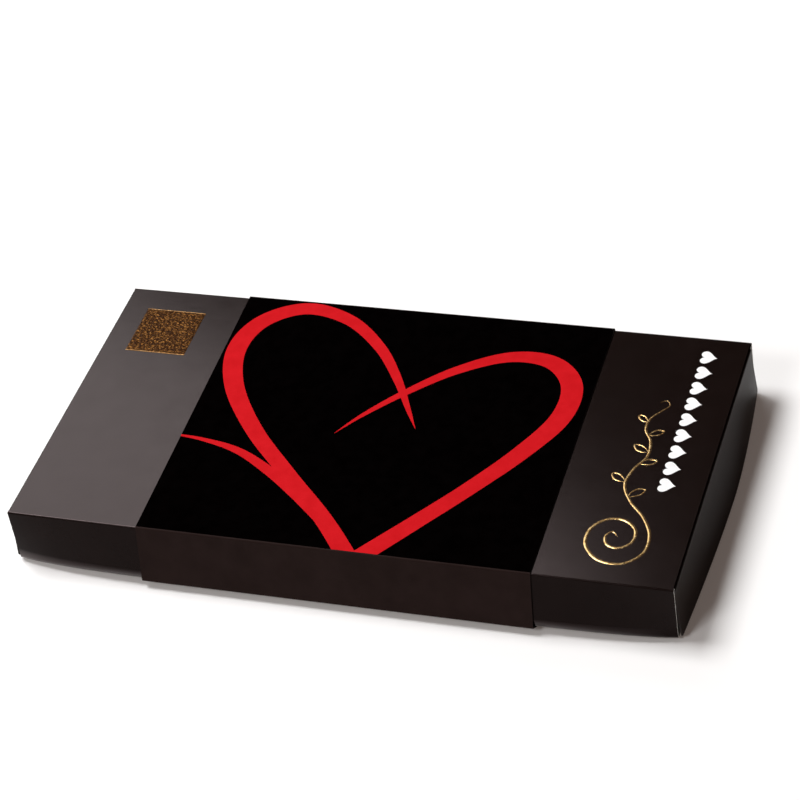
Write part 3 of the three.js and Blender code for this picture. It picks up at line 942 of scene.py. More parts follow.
@dataclass
class OuterShell:
    """The wrapped tube with its turned-in hems and its glue flap."""

    length: float = 330.0
    width: float = 174.0
    foot: float = 1.3
    height: float = 31.6
    board: float = 0.5
    fold_radius: float = 1.0
    foot_radius: float = 2.5
    foot_swell: float = 3.5
    lean: float = 7.3
    lean_fall: float = 6.0
    stations: int = 14
    hem_depth: float = 12.0
    hem_side_cut: float = 1.5
    flap: float = 12.0
    flap_taper: float = 4.0
    roll_steps: int = 8

    @property
    def top(self) -> float:
        """The height of the top panel's upper side."""
        return self.foot + self.height

    @property
    def reach(self) -> float:
        """How far the hems reach to either side of the middle."""
        return self.width / 2 - self.hem_side_cut

    def fold_at(self, x: float) -> Fold:
        """Gives the tube's outside at a place along it; its long walls lean out most midway.

        Args:
            x: The place, from the tube's middle.

        Returns:
            The outline there.
        """
        share = max(0.0, 1 - abs(2 * x / self.length) ** self.lean_fall)
        half, foot_radius = self.width / 2, self.foot_radius + self.foot_swell * share
        foot_half = half + self.lean * share
        return Fold(
            ((-foot_half, self.foot), (foot_half, self.foot), (half, self.top), (-half, self.top)),
            (foot_radius, foot_radius, self.fold_radius, self.fold_radius),
            (-self.reach, self.reach),
        )

    def ring(self, x: float, inset: float) -> Ring:
        """Gives one side of the board at a place along the tube.

        Args:
            x: The place.
            inset: How far inside the tube's outside it lies.

        Returns:
            Points with outward normals, which follow the lean's change along the tube.
        """
        step = 0.5
        folds = [self.fold_at(place).shrunk(inset).points() for place in (x - step, x, x + step)]
        ring = []
        for (y0, z0, _, _), (y, z, ny, nz), (y1, z1, _, _) in zip(*folds):
            slope = ((y1 - y0) * ny + (z1 - z0) * nz) / (2 * step)
            normal = Vector((-slope, ny, nz)).normalized()
            ring.append(((x, y, z), tuple(normal)))
        return ring

    def places(self) -> list[float]:
        """Lists the stations along the tube, closer together towards the mouths.

        Returns:
            Their places along X, from -X to +X.
        """
        half = self.length / 2
        bend = half - self.board
        turns = [math.pi / 2 * k / self.stations for k in range(1 - self.stations, self.stations)]
        return [-half, -bend, *(bend * math.sin(turn) for turn in turns), bend, half]

    def build(self) -> Draft:
        """Folds the tube.

        Returns:
            The tube with its hems and its flap.
        """
        draft = Draft()
        half, reach = self.length / 2, self.reach
        bend = half - self.board

        def hemmed(x: float, y0: float, y1: float) -> bool:
            """Tells whether a face lies where the top panel rolls over into its hem."""
            on_hem = max(abs(y0), abs(y1)) <= reach + HAIR
            return abs(x) > bend + HAIR and on_hem and y0 > y1

        outer = [self.ring(x, 0.0) for x in self.places()]
        inner = [self.ring(x, self.board) for x in self.places()]
        wrap(draft, outer, ShellLook.COAT, False, hemmed)
        wrap(draft, inner, ShellLook.INSIDE, True, hemmed)
        for end in (0, -1):
            rim(draft, outer[end], inner[end], ShellLook.CUT, hemmed)
        low, high = self.top - self.board, self.top
        for y in (reach, -reach):
            for x0, x1 in ((bend, half), (-half, -bend)):
                corners = [(x0, y, low), (x1, y, low), (x1, y, high), (x0, y, high)]
                draft.face(corners if y > 0 else corners[::-1], ShellLook.CUT)
        hem = self.hem(bend, reach)
        draft.take(hem)
        draft.take(hem.mirrored())
        draft.take(self.glue_flap())
        return draft

    def hem(self, bend: float, reach: float) -> Draft:
        """Rolls the top panel's end under.

        Args:
            bend: Where the roll starts along X.
            reach: How far the hem reaches to either side.

        Returns:
            The hem at the +X mouth.
        """
        draft = Draft()
        middle = self.top - self.board
        section: list[tuple[float, float, float, float]] = []
        for step in range(self.roll_steps + 1):
            angle = math.radians(90.0 - 180.0 * step / self.roll_steps)
            nx, nz = math.cos(angle), math.sin(angle)
            section.append((bend + self.board * nx, middle + self.board * nz, nx, nz))
        inner_x = self.length / 2 - self.hem_depth
        section.append((inner_x, middle - self.board, 0.0, -1.0))
        for (x0, z0, m0, n0), (x1, z1, m1, n1) in zip(section, section[1:]):
            corners = [(x0, -reach, z0), (x1, -reach, z1), (x1, reach, z1), (x0, reach, z0)]
            normals = [(m0, 0.0, n0), (m1, 0.0, n1), (m1, 0.0, n1), (m0, 0.0, n0)]
            # the roll's faces that turn out take the near-black roll finish, painted shade for the dark gap
            # at the mouth
            draft.face(corners, ShellLook.PAINTED_SHADE_ROLL if m1 > 0.0 else ShellLook.COAT, normals)
        low, high = middle - self.board, middle
        end = [(reach, low), (-reach, low), (-reach, high), (reach, high)]
        draft.face([(inner_x, y, z) for y, z in end], ShellLook.CUT)
        for y in (-reach, reach):
            edge = [(x, y, z) for x, z, _, _ in section]
            edge.append((inner_x, y, middle))
            draft.face(edge[::-1] if y < 0 else edge, ShellLook.CUT)
        return draft

    def glue_flap(self) -> Draft:
        """Makes the flap inside the back wall, which it follows, tapered towards both mouths.

        Returns:
            The flap.
        """
        draft = Draft()
        low = self.foot + self.foot_radius + self.foot_swell + self.lean / 4
        high_end = self.length / 2 - self.flap_taper
        rows = []
        for x in self.places():
            row = []
            for z, place in ((low + self.flap, max(-high_end, min(high_end, x))), (low, x)):
                _, (foot_y, foot_z), (top_y, top_z), _ = self.fold_at(place).shrunk(self.board).corners
                wall = foot_y + (top_y - foot_y) * (z - foot_z) / (top_z - foot_z)
                row.append([(place, wall, z), (place, wall - self.board, z)])
            rows.append([row[0][0], row[0][1], row[1][1], row[1][0]])
        draft.grid(rows, ShellLook.INSIDE, closed=True)
        draft.face(rows[0][::-1], ShellLook.CUT)
        draft.face(rows[-1], ShellLook.CUT)
        return draft

    def dress(self) -> bpy.types.Object:
        """Makes the shell's object and gives it its finishes.

        Returns:
            The object, in place of outer_shell.
        """
        materials = [
            PALETTE.shell.material(),
            PALETTE.inside.material(),
            PALETTE.cut.material(),
            PALETTE.roll.material(),
        ]
        piece = self.build().make("shell_tube", Body.SHELL, Slot.SHELL, materials)
        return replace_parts(piece, "outer_shell")


@dataclass
class FoilOrnaments:
    """Ornaments on the shell's top: a hammered foil square, a gold flourish and a row of small hearts."""

    top: float
    square_middle: Point2 = (-135.3, 54.5)
    square_size: Point2 = (32.5, 33.5)
    square_lift: float = 0.12
    square_cells: int = 48
    rail: float = 0.42
    rail_height: float = 0.28
    arc_steps: int = 6
    hearts_x: float = 146.4
    hearts_y: tuple[float, float] = (-20.0, 72.5)
    heart_count: int = 9
    heart_size: float = 9.2
    heart_points: int = 40
    heart_lift: float = 0.03
    line_lift: float = 0.16

    def square(self) -> Draft:
        """Makes the foil square with soft dents and a thin rail along its far and near edges.

        Returns:
            The square with its rail.
        """
        draft = Draft()
        (cx, cy), (width, depth) = self.square_middle, self.square_size
        cells = self.square_cells
        rows = []
        for r in range(cells + 1):
            row = []
            for k in range(cells + 1):
                u, v = k / cells, r / cells
                inset = min(u, v, 1 - u, 1 - v) * cells
                sway = math.sin(23.1 * u + 4.0 * math.sin(17.3 * v))
                dent = 0.5 + 0.5 * sway * math.sin(19.7 * v + 3.0 * u)
                lift = self.square_lift * (0.55 + 0.45 * dent) * min(1.0, inset)
                row.append((cx + (u - 0.5) * width, cy + (v - 0.5) * depth, self.top + 0.01 + lift))
            rows.append(row)
        draft.grid(rows, SquareLook.HAMMERED)
        for side in (-1, 1):
            y = cy + side * (depth - self.rail) / 2
            section = []
            for step in range(self.arc_steps + 1):
                angle = math.pi * step / self.arc_steps
                across = y - self.rail / 2 * math.cos(angle)
                section.append((across, self.top + self.rail_height * math.sin(angle)))
            ends = (cx - width / 2, cx + width / 2)
            draft.grid([[(x, across, z) for x in ends] for across, z in section], SquareLook.RAIL)
        return draft

    @staticmethod
    def strokes() -> list[list[tuple[float, ...]]]:
        """Draws the flourish: a volute, a waving stem and its leaves, as x, y and width.

        Returns:
            The middle line of every stroke.
        """
        stem = [
            (131.5, -56.5, 0.4),
            (128.8, -54.2, 0.9),
            (126.3, -57.5, 1.2),
            (128.0, -62.5, 1.4),
            (133.8, -64.2, 1.5),
            (139.0, -60.0, 1.5),
            (139.2, -52.2, 1.5),
            (133.0, -46.0, 1.5),
            (124.4, -46.6, 1.6),
            (118.2, -54.0, 1.7),
            (118.6, -64.8, 1.7),
            (126.4, -73.0, 1.6),
            (137.6, -74.0, 1.5),
            (145.8, -66.0, 1.5),
            (146.2, -54.0, 1.5),
            (140.4, -42.6, 1.4),
            (132.0, -33.0, 1.3),
            (127.0, -22.5, 1.3),
            (128.6, -11.5, 1.4),
            (133.0, -2.0, 1.4),
            (132.2, 8.5, 1.3),
            (128.0, 16.5, 1.2),
            (128.4, 24.5, 1.1),
            (132.4, 30.5, 0.9),
            (135.6, 35.0, 0.6),
            (133.6, 38.4, 0.4),
            (130.6, 36.6, 0.25),
        ]
        leaf = [
            (0.0, 0.0, 0.3),
            (0.32, 0.20, 0.8),
            (0.70, 0.24, 1.1),
            (1.0, 0.02, 0.7),
            (0.72, -0.17, 0.9),
            (0.36, -0.13, 0.7),
            (0.04, 0.0, 0.3),
        ]
        roots = (
            (130.2, -30.6, 40.0, 9.5),
            (127.0, -20.5, 145.0, 9.0),
            (130.4, -7.5, 20.0, 8.5),
            (133.2, 1.0, 150.0, 9.0),
            (130.2, 12.6, 30.0, 8.0),
            (128.2, 22.0, 140.0, 7.0),
        )
        lines = [through(stem, 12)]
        for root_x, root_y, bearing, length in roots:
            c, s = math.cos(math.radians(bearing)) * length, math.sin(math.radians(bearing)) * length
            placed = [(root_x + c * u - s * v, root_y + s * u + c * v, w) for u, v, w in leaf]
            lines.append(through(placed, 8))
        return lines

    def flourish(self) -> Draft:
        """Raises the strokes into low rounded ridges of foil.

        Returns:
            The ridges.
        """
        draft = Draft()
        for line in self.strokes():
            rows = []
            for (x, y, width), (left, right) in zip(line, sides(line)):
                across = Vector((left[0] - right[0], left[1] - right[1])) / 2
                lift = self.line_lift * min(1.0, width)
                row = []
                for step in range(self.arc_steps + 1):
                    angle = math.pi * step / self.arc_steps
                    shift = -math.cos(angle)
                    height = self.top + 0.005 + lift * math.sin(angle)
                    row.append((x + across.x * shift, y + across.y * shift, height))
                rows.append(row)
            draft.grid(rows, flip=True)
        return draft

    def small_hearts(self) -> Draft:
        """Prints the row of small hearts that reads from the box's right end.

        Returns:
            The hearts.
        """
        draft = Draft()
        low, high = self.hearts_y
        for k in range(self.heart_count):
            y = low + (high - low) * k / (self.heart_count - 1)
            scale = self.heart_size / HEART_SPAN
            curve = heart_curve(self.heart_points)
            outline = [(self.hearts_x - v * scale, y + u * scale) for u, v in curve]
            draft.prism(outline, lambda u, v, z: (u, v, z), self.top, self.top + self.heart_lift, (0, 0, 0))
        return draft

    def dress(self) -> None:
        """Makes the three ornaments."""
        gold = PALETTE.gold.material()
        foils = [PALETTE.hammered.material(), PALETTE.rail.material()]
        white = PALETTE.white.material()
        self.square().make("shell_foil_square", Body.SHELL, Slot.SHELL, foils, sharp=60)
        self.flourish().make("shell_gold_flourish", Body.SHELL, Slot.SHELL, [gold], sharp=75)
        self.small_hearts().make("shell_small_hearts", Body.SHELL, Slot.SHELL, [white], sharp=30)


@dataclass
class PrintedBand:
    """The closed paper band with its large red brush-drawn heart."""

    length: float = 195.5
    top_corner: Point2 = (-87.636, 33.7)
    crease: Point2 = (-94.375, 4.527)
    bend: Point2 = (-88.367, 0.0)
    board: float = 0.5
    fold_radius: float = 1.0
    crease_radius: float = 0.8
    shift: float = -0.76
    skew: float = -0.0158
    overlap: float = 25.0
    overlap_inset: float = 8.0

    @staticmethod
    def brush_strokes() -> list[list[tuple[float, ...]]]:
        """Draws the heart's strokes as x, y and width.

        Returns:
            The middle line of every stroke.
        """
        left = [
            (17, 0, 0.2),
            (9, 14, 2.6),
            (-3, 35, 4.6),
            (-19, 57, 6.0),
            (-41, 75.5, 7.4),
            (-66, 81.5, 9.0),
            (-86, 69, 10.2),
            (-92.5, 46, 10.6),
            (-84, 18, 9.8),
            (-63, -12, 8.6),
            (-36, -40, 8.0),
            (-10, -66, 8.6),
            (8, -87, 9.2),
            (15, -97, 9.4),
        ]
        right = [
            (-22, -9, 0.2),
            (-12, 6, 2.4),
            (4, 25, 4.2),
            (25, 45, 5.8),
            (49, 58.5, 7.6),
            (71, 57.5, 9.4),
            (85, 42, 10.8),
            (85.5, 18, 10.8),
            (73, -9, 9.8),
            (55, -37, 9.0),
            (37, -62, 9.2),
            (20, -85, 9.8),
            (11, -97, 9.8),
        ]
        tail = [
            (-108, -21, 0.6),
            (-88, -22.5, 2.2),
            (-66, -28, 4.2),
            (-45, -40, 5.6),
            (-26, -54, 6.4),
            (-8, -69, 6.8),
        ]
        return [through(stroke, 16) for stroke in (left, right, tail)]

    def fold(self) -> Fold:
        """Gives the band's outside: its walls lean out and its foot creases spring off the table.

        Returns:
            The band's outline.
        """
        front = (self.top_corner, self.crease, self.bend)
        back = tuple((-y, z) for y, z in reversed(front))
        creases = (self.crease_radius,) * 4
        return Fold((*front, *back), (self.fold_radius, *creases, self.fold_radius))

    def edge_x(self, side: int, y: float) -> float:
        """Gives the place along X of the band's left or right edge, which isn't quite square."""
        return side * self.length / 2 + self.shift + self.skew * y

    def ring(self, side: int, inset: float) -> Ring:
        """Gives one side of the paper along the band's left or right edge."""
        skin = self.fold().shrunk(inset).points()
        return [((self.edge_x(side, y), y, z), (0.0, ny, nz)) for y, z, ny, nz in skin]

    def printed_top(self, draft: Draft, edge: float) -> None:
        """Parts the flat top into black and red ink.

        Args:
            draft: The draft that takes the faces.
            edge: How far the flat top reaches to the front and to the back.
        """
        sheet = [(self.edge_x(side, y), y) for side, y in ((-1, -edge), (1, -edge), (1, edge), (-1, edge))]
        outlines = [outline_of(line) for line in self.brush_strokes()]
        places: list[Vector] = []
        edges: list[tuple[int, int]] = []
        for outline in (sheet, *outlines):
            first = len(places)
            places.extend(Vector(point) for point in outline)
            count = len(outline)
            edges.extend((first + k, first + (k + 1) % count) for k in range(count))
        corners, _, triangles, _, _, _ = delaunay_2d_cdt(places, edges, [], 0, 1e-5)
        up = (0.0, 0.0, 1.0)
        for triangle in triangles:
            ring = [corners[k] for k in triangle]
            x = sum(corner.x for corner in ring) / 3
            y = sum(corner.y for corner in ring) / 3
            if not encloses(sheet, x, y):
                continue
            inked = any(encloses(outline, x, y) for outline in outlines)
            look = BandLook.RED if inked else BandLook.BLACK
            draft.face([(c.x, c.y, self.top_corner[1]) for c in ring], look, [up] * 3)

    def build(self) -> Draft:
        """Folds the band and prints its top.

        Returns:
            The band with its print and the overlap underneath.
        """
        draft = Draft()
        edge = max(y for y, _, _, nz in self.fold().points() if nz > 1 - 1e-6)

        def on_top(_x: float, y0: float, y1: float) -> bool:
            """Tells whether a face is the flat top, which the print fills."""
            return y0 > edge - HAIR and y1 < -edge + HAIR

        def nowhere(_x: float, _y0: float, _y1: float) -> bool:
            """Leaves no face out."""
            return False

        outer = [self.ring(side, 0.0) for side in (-1, 1)]
        inner = [self.ring(side, self.board) for side in (-1, 1)]
        wrap(draft, outer, BandLook.COAT, False, on_top)
        wrap(draft, inner, BandLook.CORE, True, nowhere)
        for end in (0, 1):
            rim(draft, outer[end], inner[end], BandLook.CORE, nowhere)
        self.printed_top(draft, edge)
        back = -self.bend[0] - self.overlap_inset
        strip = [(-1, back - self.overlap), (1, back - self.overlap), (1, back), (-1, back)]
        outline = [(self.edge_x(side, y), y) for side, y in strip]
        looks = (BandLook.CORE,) * 3
        draft.prism(outline, lambda x, y, z: (x, y, z), self.board / 2, 2 * self.board, looks)
        return draft

    def dress(self) -> bpy.types.Object:
        """Makes the band's object and gives it its finishes.

        Returns:
            The object, in place of printed_band.
        """
        materials = [
            PALETTE.band.material(),
            PALETTE.dyed.material(),
            PALETTE.red.material(),
            PALETTE.black.material(),
        ]
        piece = self.build().make("band_loop", Body.BAND, Slot.BAND, materials)
        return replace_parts(piece, "printed_band")


@dataclass
class DrawerTray:
    """The folded drawer: a trough whose end walls roll over the rim and hang down, bowed at the foot."""

    board: float = 0.5
    front: float = -86.0
    back: float = 85.5
    foot: float = 2.1
    rim_height: float = 31.1
    foot_radius: float = 2.0
    ply_outer: float = 164.8
    end_inner: float = 163.0
    bow_at_corners: float = 1.8
    bow_rise: float = 4.6
    bow_peak_y: float = 12.0
    bow_fall: float = 1.6
    bow_lean: float = 1.25
    tab_width: float = 14.0
    tab_taper: float = 2.0
    roll_drop: float = 1.3
    roll_steps: int = 10
    levels: int = 14
    stations: int = 44
    fold_steps: int = 10
    near_steps: int = 6

    @property
    def end_outer(self) -> float:
        """The outside of the inner ply of an end wall."""
        return self.end_inner + self.board

    def bow(self, y: float) -> float:
        """Gives how far the hanging ply's free edge stands out at a place across the box.

        Args:
            y: The place.

        Returns:
            The distance, most at the peak of the bow.
        """
        reach = self.bow_peak_y - self.front if y < self.bow_peak_y else self.back - self.bow_peak_y
        away = min(1.0, abs(y - self.bow_peak_y) / reach)
        return self.bow_at_corners + self.bow_rise * (1 - away**self.bow_fall)

    def foot_at(self, y: float) -> float:
        """Gives the height of the tray's underside, which its folds raise near the long walls.

        Args:
            y: The place.

        Returns:
            The height.
        """
        inside = min(y - self.front, self.back - y)
        if inside >= self.foot_radius:
            return self.foot
        across = self.foot_radius - inside
        return self.foot + self.foot_radius - math.sqrt(max(0.0, self.foot_radius**2 - across**2))

    def places_across(self) -> list[float]:
        """Lists the stations across the box, close together at its long walls.

        Returns:
            Their places along Y, from front to back.
        """
        turns = [math.radians(90.0 * k / self.near_steps) for k in range(self.near_steps + 1)]
        near = [self.foot_radius * (1 - math.cos(turn)) for turn in turns]
        middle_low, middle_high = self.front + self.foot_radius, self.back - self.foot_radius
        inner = [
            middle_low + (middle_high - middle_low) * (1 - math.cos(math.pi * k / self.stations)) / 2
            for k in range(1, self.stations)
        ]
        return [*(self.front + n for n in near), *inner, *(self.back - n for n in reversed(near))]

    def section(self, y: float, outer_side: bool) -> list[Point3]:
        """Gives one side of the rolled end wall in X and Z, from the inner ply's foot to the free edge.

        Args:
            y: The place across the box.
            outer_side: Whether it is the side that faces away from the roll's middle.

        Returns:
            The section's points.
        """
        step_in = 0.0 if outer_side else self.board
        radius = (self.ply_outer - self.end_inner) / 2 - step_in
        middle_x = (self.ply_outer + self.end_inner) / 2
        middle_z = self.rim_height - self.roll_drop - (self.ply_outer - self.end_inner) / 2
        foot, bow = self.foot_at(y), self.bow(y)
        points: list[Point3] = [(middle_x - radius, y, foot), (middle_x - radius, y, middle_z - 1.0)]
        for step in range(self.roll_steps + 1):
            angle = math.pi * (1 - step / self.roll_steps)
            points.append((middle_x + radius * math.cos(angle), y, middle_z + radius * math.sin(angle)))
        for level in range(1, self.levels + 1):
            down = level / self.levels
            x = middle_x + radius + bow * down**self.bow_lean
            points.append((x, y, middle_z + (foot - middle_z) * down))
        return points

    def end_wall(self) -> Draft:
        """Makes the rolled end wall at +X with its dark cut edges.

        Returns:
            The wall.
        """
        draft = Draft()
        across = self.places_across()
        outside = [self.section(y, True) for y in across]
        inside = [self.section(y, False) for y in across]
        draft.grid(outside, TrayLook.COAT)
        draft.grid(inside, TrayLook.COAT, flip=True)
        for end, flip in ((0, False), (-1, True)):
            draft.grid([outside[end], inside[end]], TrayLook.CORE, flip=flip)
        free_edge = [[row[-1] for row in outside], [row[-1] for row in inside]]
        draft.grid(free_edge, TrayLook.CORE, flip=True)
        inner_foot = [[row[0] for row in outside], [row[0] for row in inside]]
        draft.grid(inner_foot, TrayLook.CUT)
        return draft

    def tabs(self) -> Draft:
        """Makes the two corner tabs glued to the outside of the inner ply at +X.

        Returns:
            The tabs.
        """
        draft = Draft()
        looks = (TrayLook.COAT, TrayLook.COAT, TrayLook.CUT)
        for side, wall in ((1, self.front), (-1, self.back)):
            outline = [
                (wall, self.foot + self.tab_taper),
                (wall + side * self.tab_width, self.foot + self.tab_taper),
                (wall + side * self.tab_width, self.rim_height - 2 * self.tab_taper),
                (wall, self.rim_height - self.tab_taper),
            ]
            ring = outline if side > 0 else outline[::-1]
            low, high = self.end_outer, self.end_outer + self.board
            draft.prism(ring, lambda y, z, x: (x, y, z), low, high, looks)
        return draft

    def trough(self) -> Draft:
        """Folds the floor and the long walls.

        Returns:
            The trough, open at both ends.
        """
        draft = Draft()
        loops = []
        for inset in (0.0, self.board):
            radius = self.foot_radius - inset
            front, back, foot = self.front + inset, self.back - inset, self.foot + inset
            loop = [(front, self.rim_height, -1.0, 0.0)]
            for y, start in ((front + radius, 180.0), (back - radius, 270.0)):
                for step in range(self.fold_steps + 1):
                    angle = math.radians(start + 90.0 * step / self.fold_steps)
                    ny, nz = math.cos(angle), math.sin(angle)
                    loop.append((y + radius * ny, foot + radius + radius * nz, ny, nz))
            loop.append((back, self.rim_height, 1.0, 0.0))
            loops.append(loop)
        half = self.end_outer
        for loop, sign in zip(loops, (1.0, -1.0)):
            for (y0, z0, m0, n0), (y1, z1, m1, n1) in zip(loop, loop[1:]):
                corners = [(-half, y0, z0), (half, y0, z0), (half, y1, z1), (-half, y1, z1)]
                first, second = (0.0, sign * m0, sign * n0), (0.0, sign * m1, sign * n1)
                normals = [first, first, second, second]
                if sign > 0:
                    draft.face(corners[::-1], TrayLook.COAT, normals[::-1])
                else:
                    draft.face(corners, TrayLook.COAT, normals)
        for end in (0, -1):
            outer_y, inner_y = loops[0][end][0], loops[1][end][0]
            low, high = min(outer_y, inner_y), max(outer_y, inner_y)
            z = self.rim_height
            edge = [(-half, low, z), (half, low, z), (half, high, z), (-half, high, z)]
            draft.face(edge, TrayLook.CUT)
        return draft

    def dress(self) -> bpy.types.Object:
        """Makes the drawer's object and gives it its finishes.

        Returns:
            The object, in place of drawer_tray.
        """
        draft = self.trough()
        for half in (self.end_wall(), self.tabs()):
            draft.take(half)
            draft.take(half.mirrored())
        materials = [PALETTE.tray.material(), PALETTE.cut.material(), PALETTE.dyed.material()]
        piece = draft.make("tray_folded", Body.DRAWER, Slot.TRAY, materials, sharp=50)
        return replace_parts(piece, "drawer_tray")


# What the drawer holds


@dataclass
class Dividers:
    """The slotted grid, whose solids are right as they are and get their board."""

    long_count: int = 2
    cross_count: int = 5

    def dress(self) -> None:
        """Gives the solids their board."""
        board = PALETTE.divider.material()
        names = [f"long_divider_{k + 1}" for k in range(self.long_count)]
        names += [f"cross_divider_{k + 1}" for k in range(self.cross_count)]
        for name in names:
            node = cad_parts[name]
            node.data.materials.clear()
            node.data.materials.append(board)
            log.info("dressed %s", name)


@dataclass
class PaperCup:
    """One pleated paper cup round a middle."""

    middle: Point2
    foot: float = 2.9
    base: float = 20.2
    flare: float = 5.0
    height: float = 18.0
    paper: float = 0.12
    pleats: int = 44
    pleat_depth: float = 0.68
    flop: float = 0.35
    sag: float = 0.3
    levels: int = 9
    turn: float = 0.0

    def ring(self, share: float, inset: float) -> list[Point3]:
        """Gives one ring of the pleated wall.

        Args:
            share: How far up the wall it lies, from 0 to 1.
            inset: How far inside the outer skin.

        Returns:
            The ring's points.
        """
        points = []
        count = self.pleats * 4
        depth = self.pleat_depth * share**0.7
        radius = self.base + self.flare * share**1.15 - inset
        for k in range(count):
            angle = 2 * math.pi * k / count + self.turn
            swing = math.sin(math.pi * k / 2 + 0.6 * math.sin(3 * angle) * share)
            flop = self.flop * share**3 * math.sin(5 * angle + self.turn * 7)
            reach = radius + depth * swing - abs(flop)
            drop = self.sag * share**4 * (1 + math.sin(2 * angle + 3 * self.turn)) / 2
            x, y = self.middle
            height = self.foot + self.height * share - drop
            points.append((x + reach * math.cos(angle), y + reach * math.sin(angle), height))
        return points

    def build(self) -> Draft:
        """Makes the cup's two skins, its lip and its floor.

        Returns:
            The cup.
        """
        draft = Draft()
        shares = [(k / self.levels) ** 0.9 for k in range(self.levels + 1)]
        outer = [self.ring(share, 0.0) for share in shares]
        inner = [self.ring(share, self.paper) for share in shares]
        inner[0] = [(x, y, z + self.paper) for x, y, z in inner[0]]
        draft.grid(outer, closed=True)
        draft.grid(inner, closed=True, flip=True)
        draft.grid([outer[-1], inner[-1]], closed=True)
        x, y = self.middle
        for skin, flip in ((outer[0], True), (inner[0], False)):
            rings = []
            for share in (1.0, 0.97, 0.7, 0.35, 0.02):
                lift = 0.0 if share == 1.0 or flip else 0.08
                rings.append([(x + (px - x) * share, y + (py - y) * share, pz + lift) for px, py, pz in skin])
            draft.grid(rings, closed=True, flip=flip)
        return draft


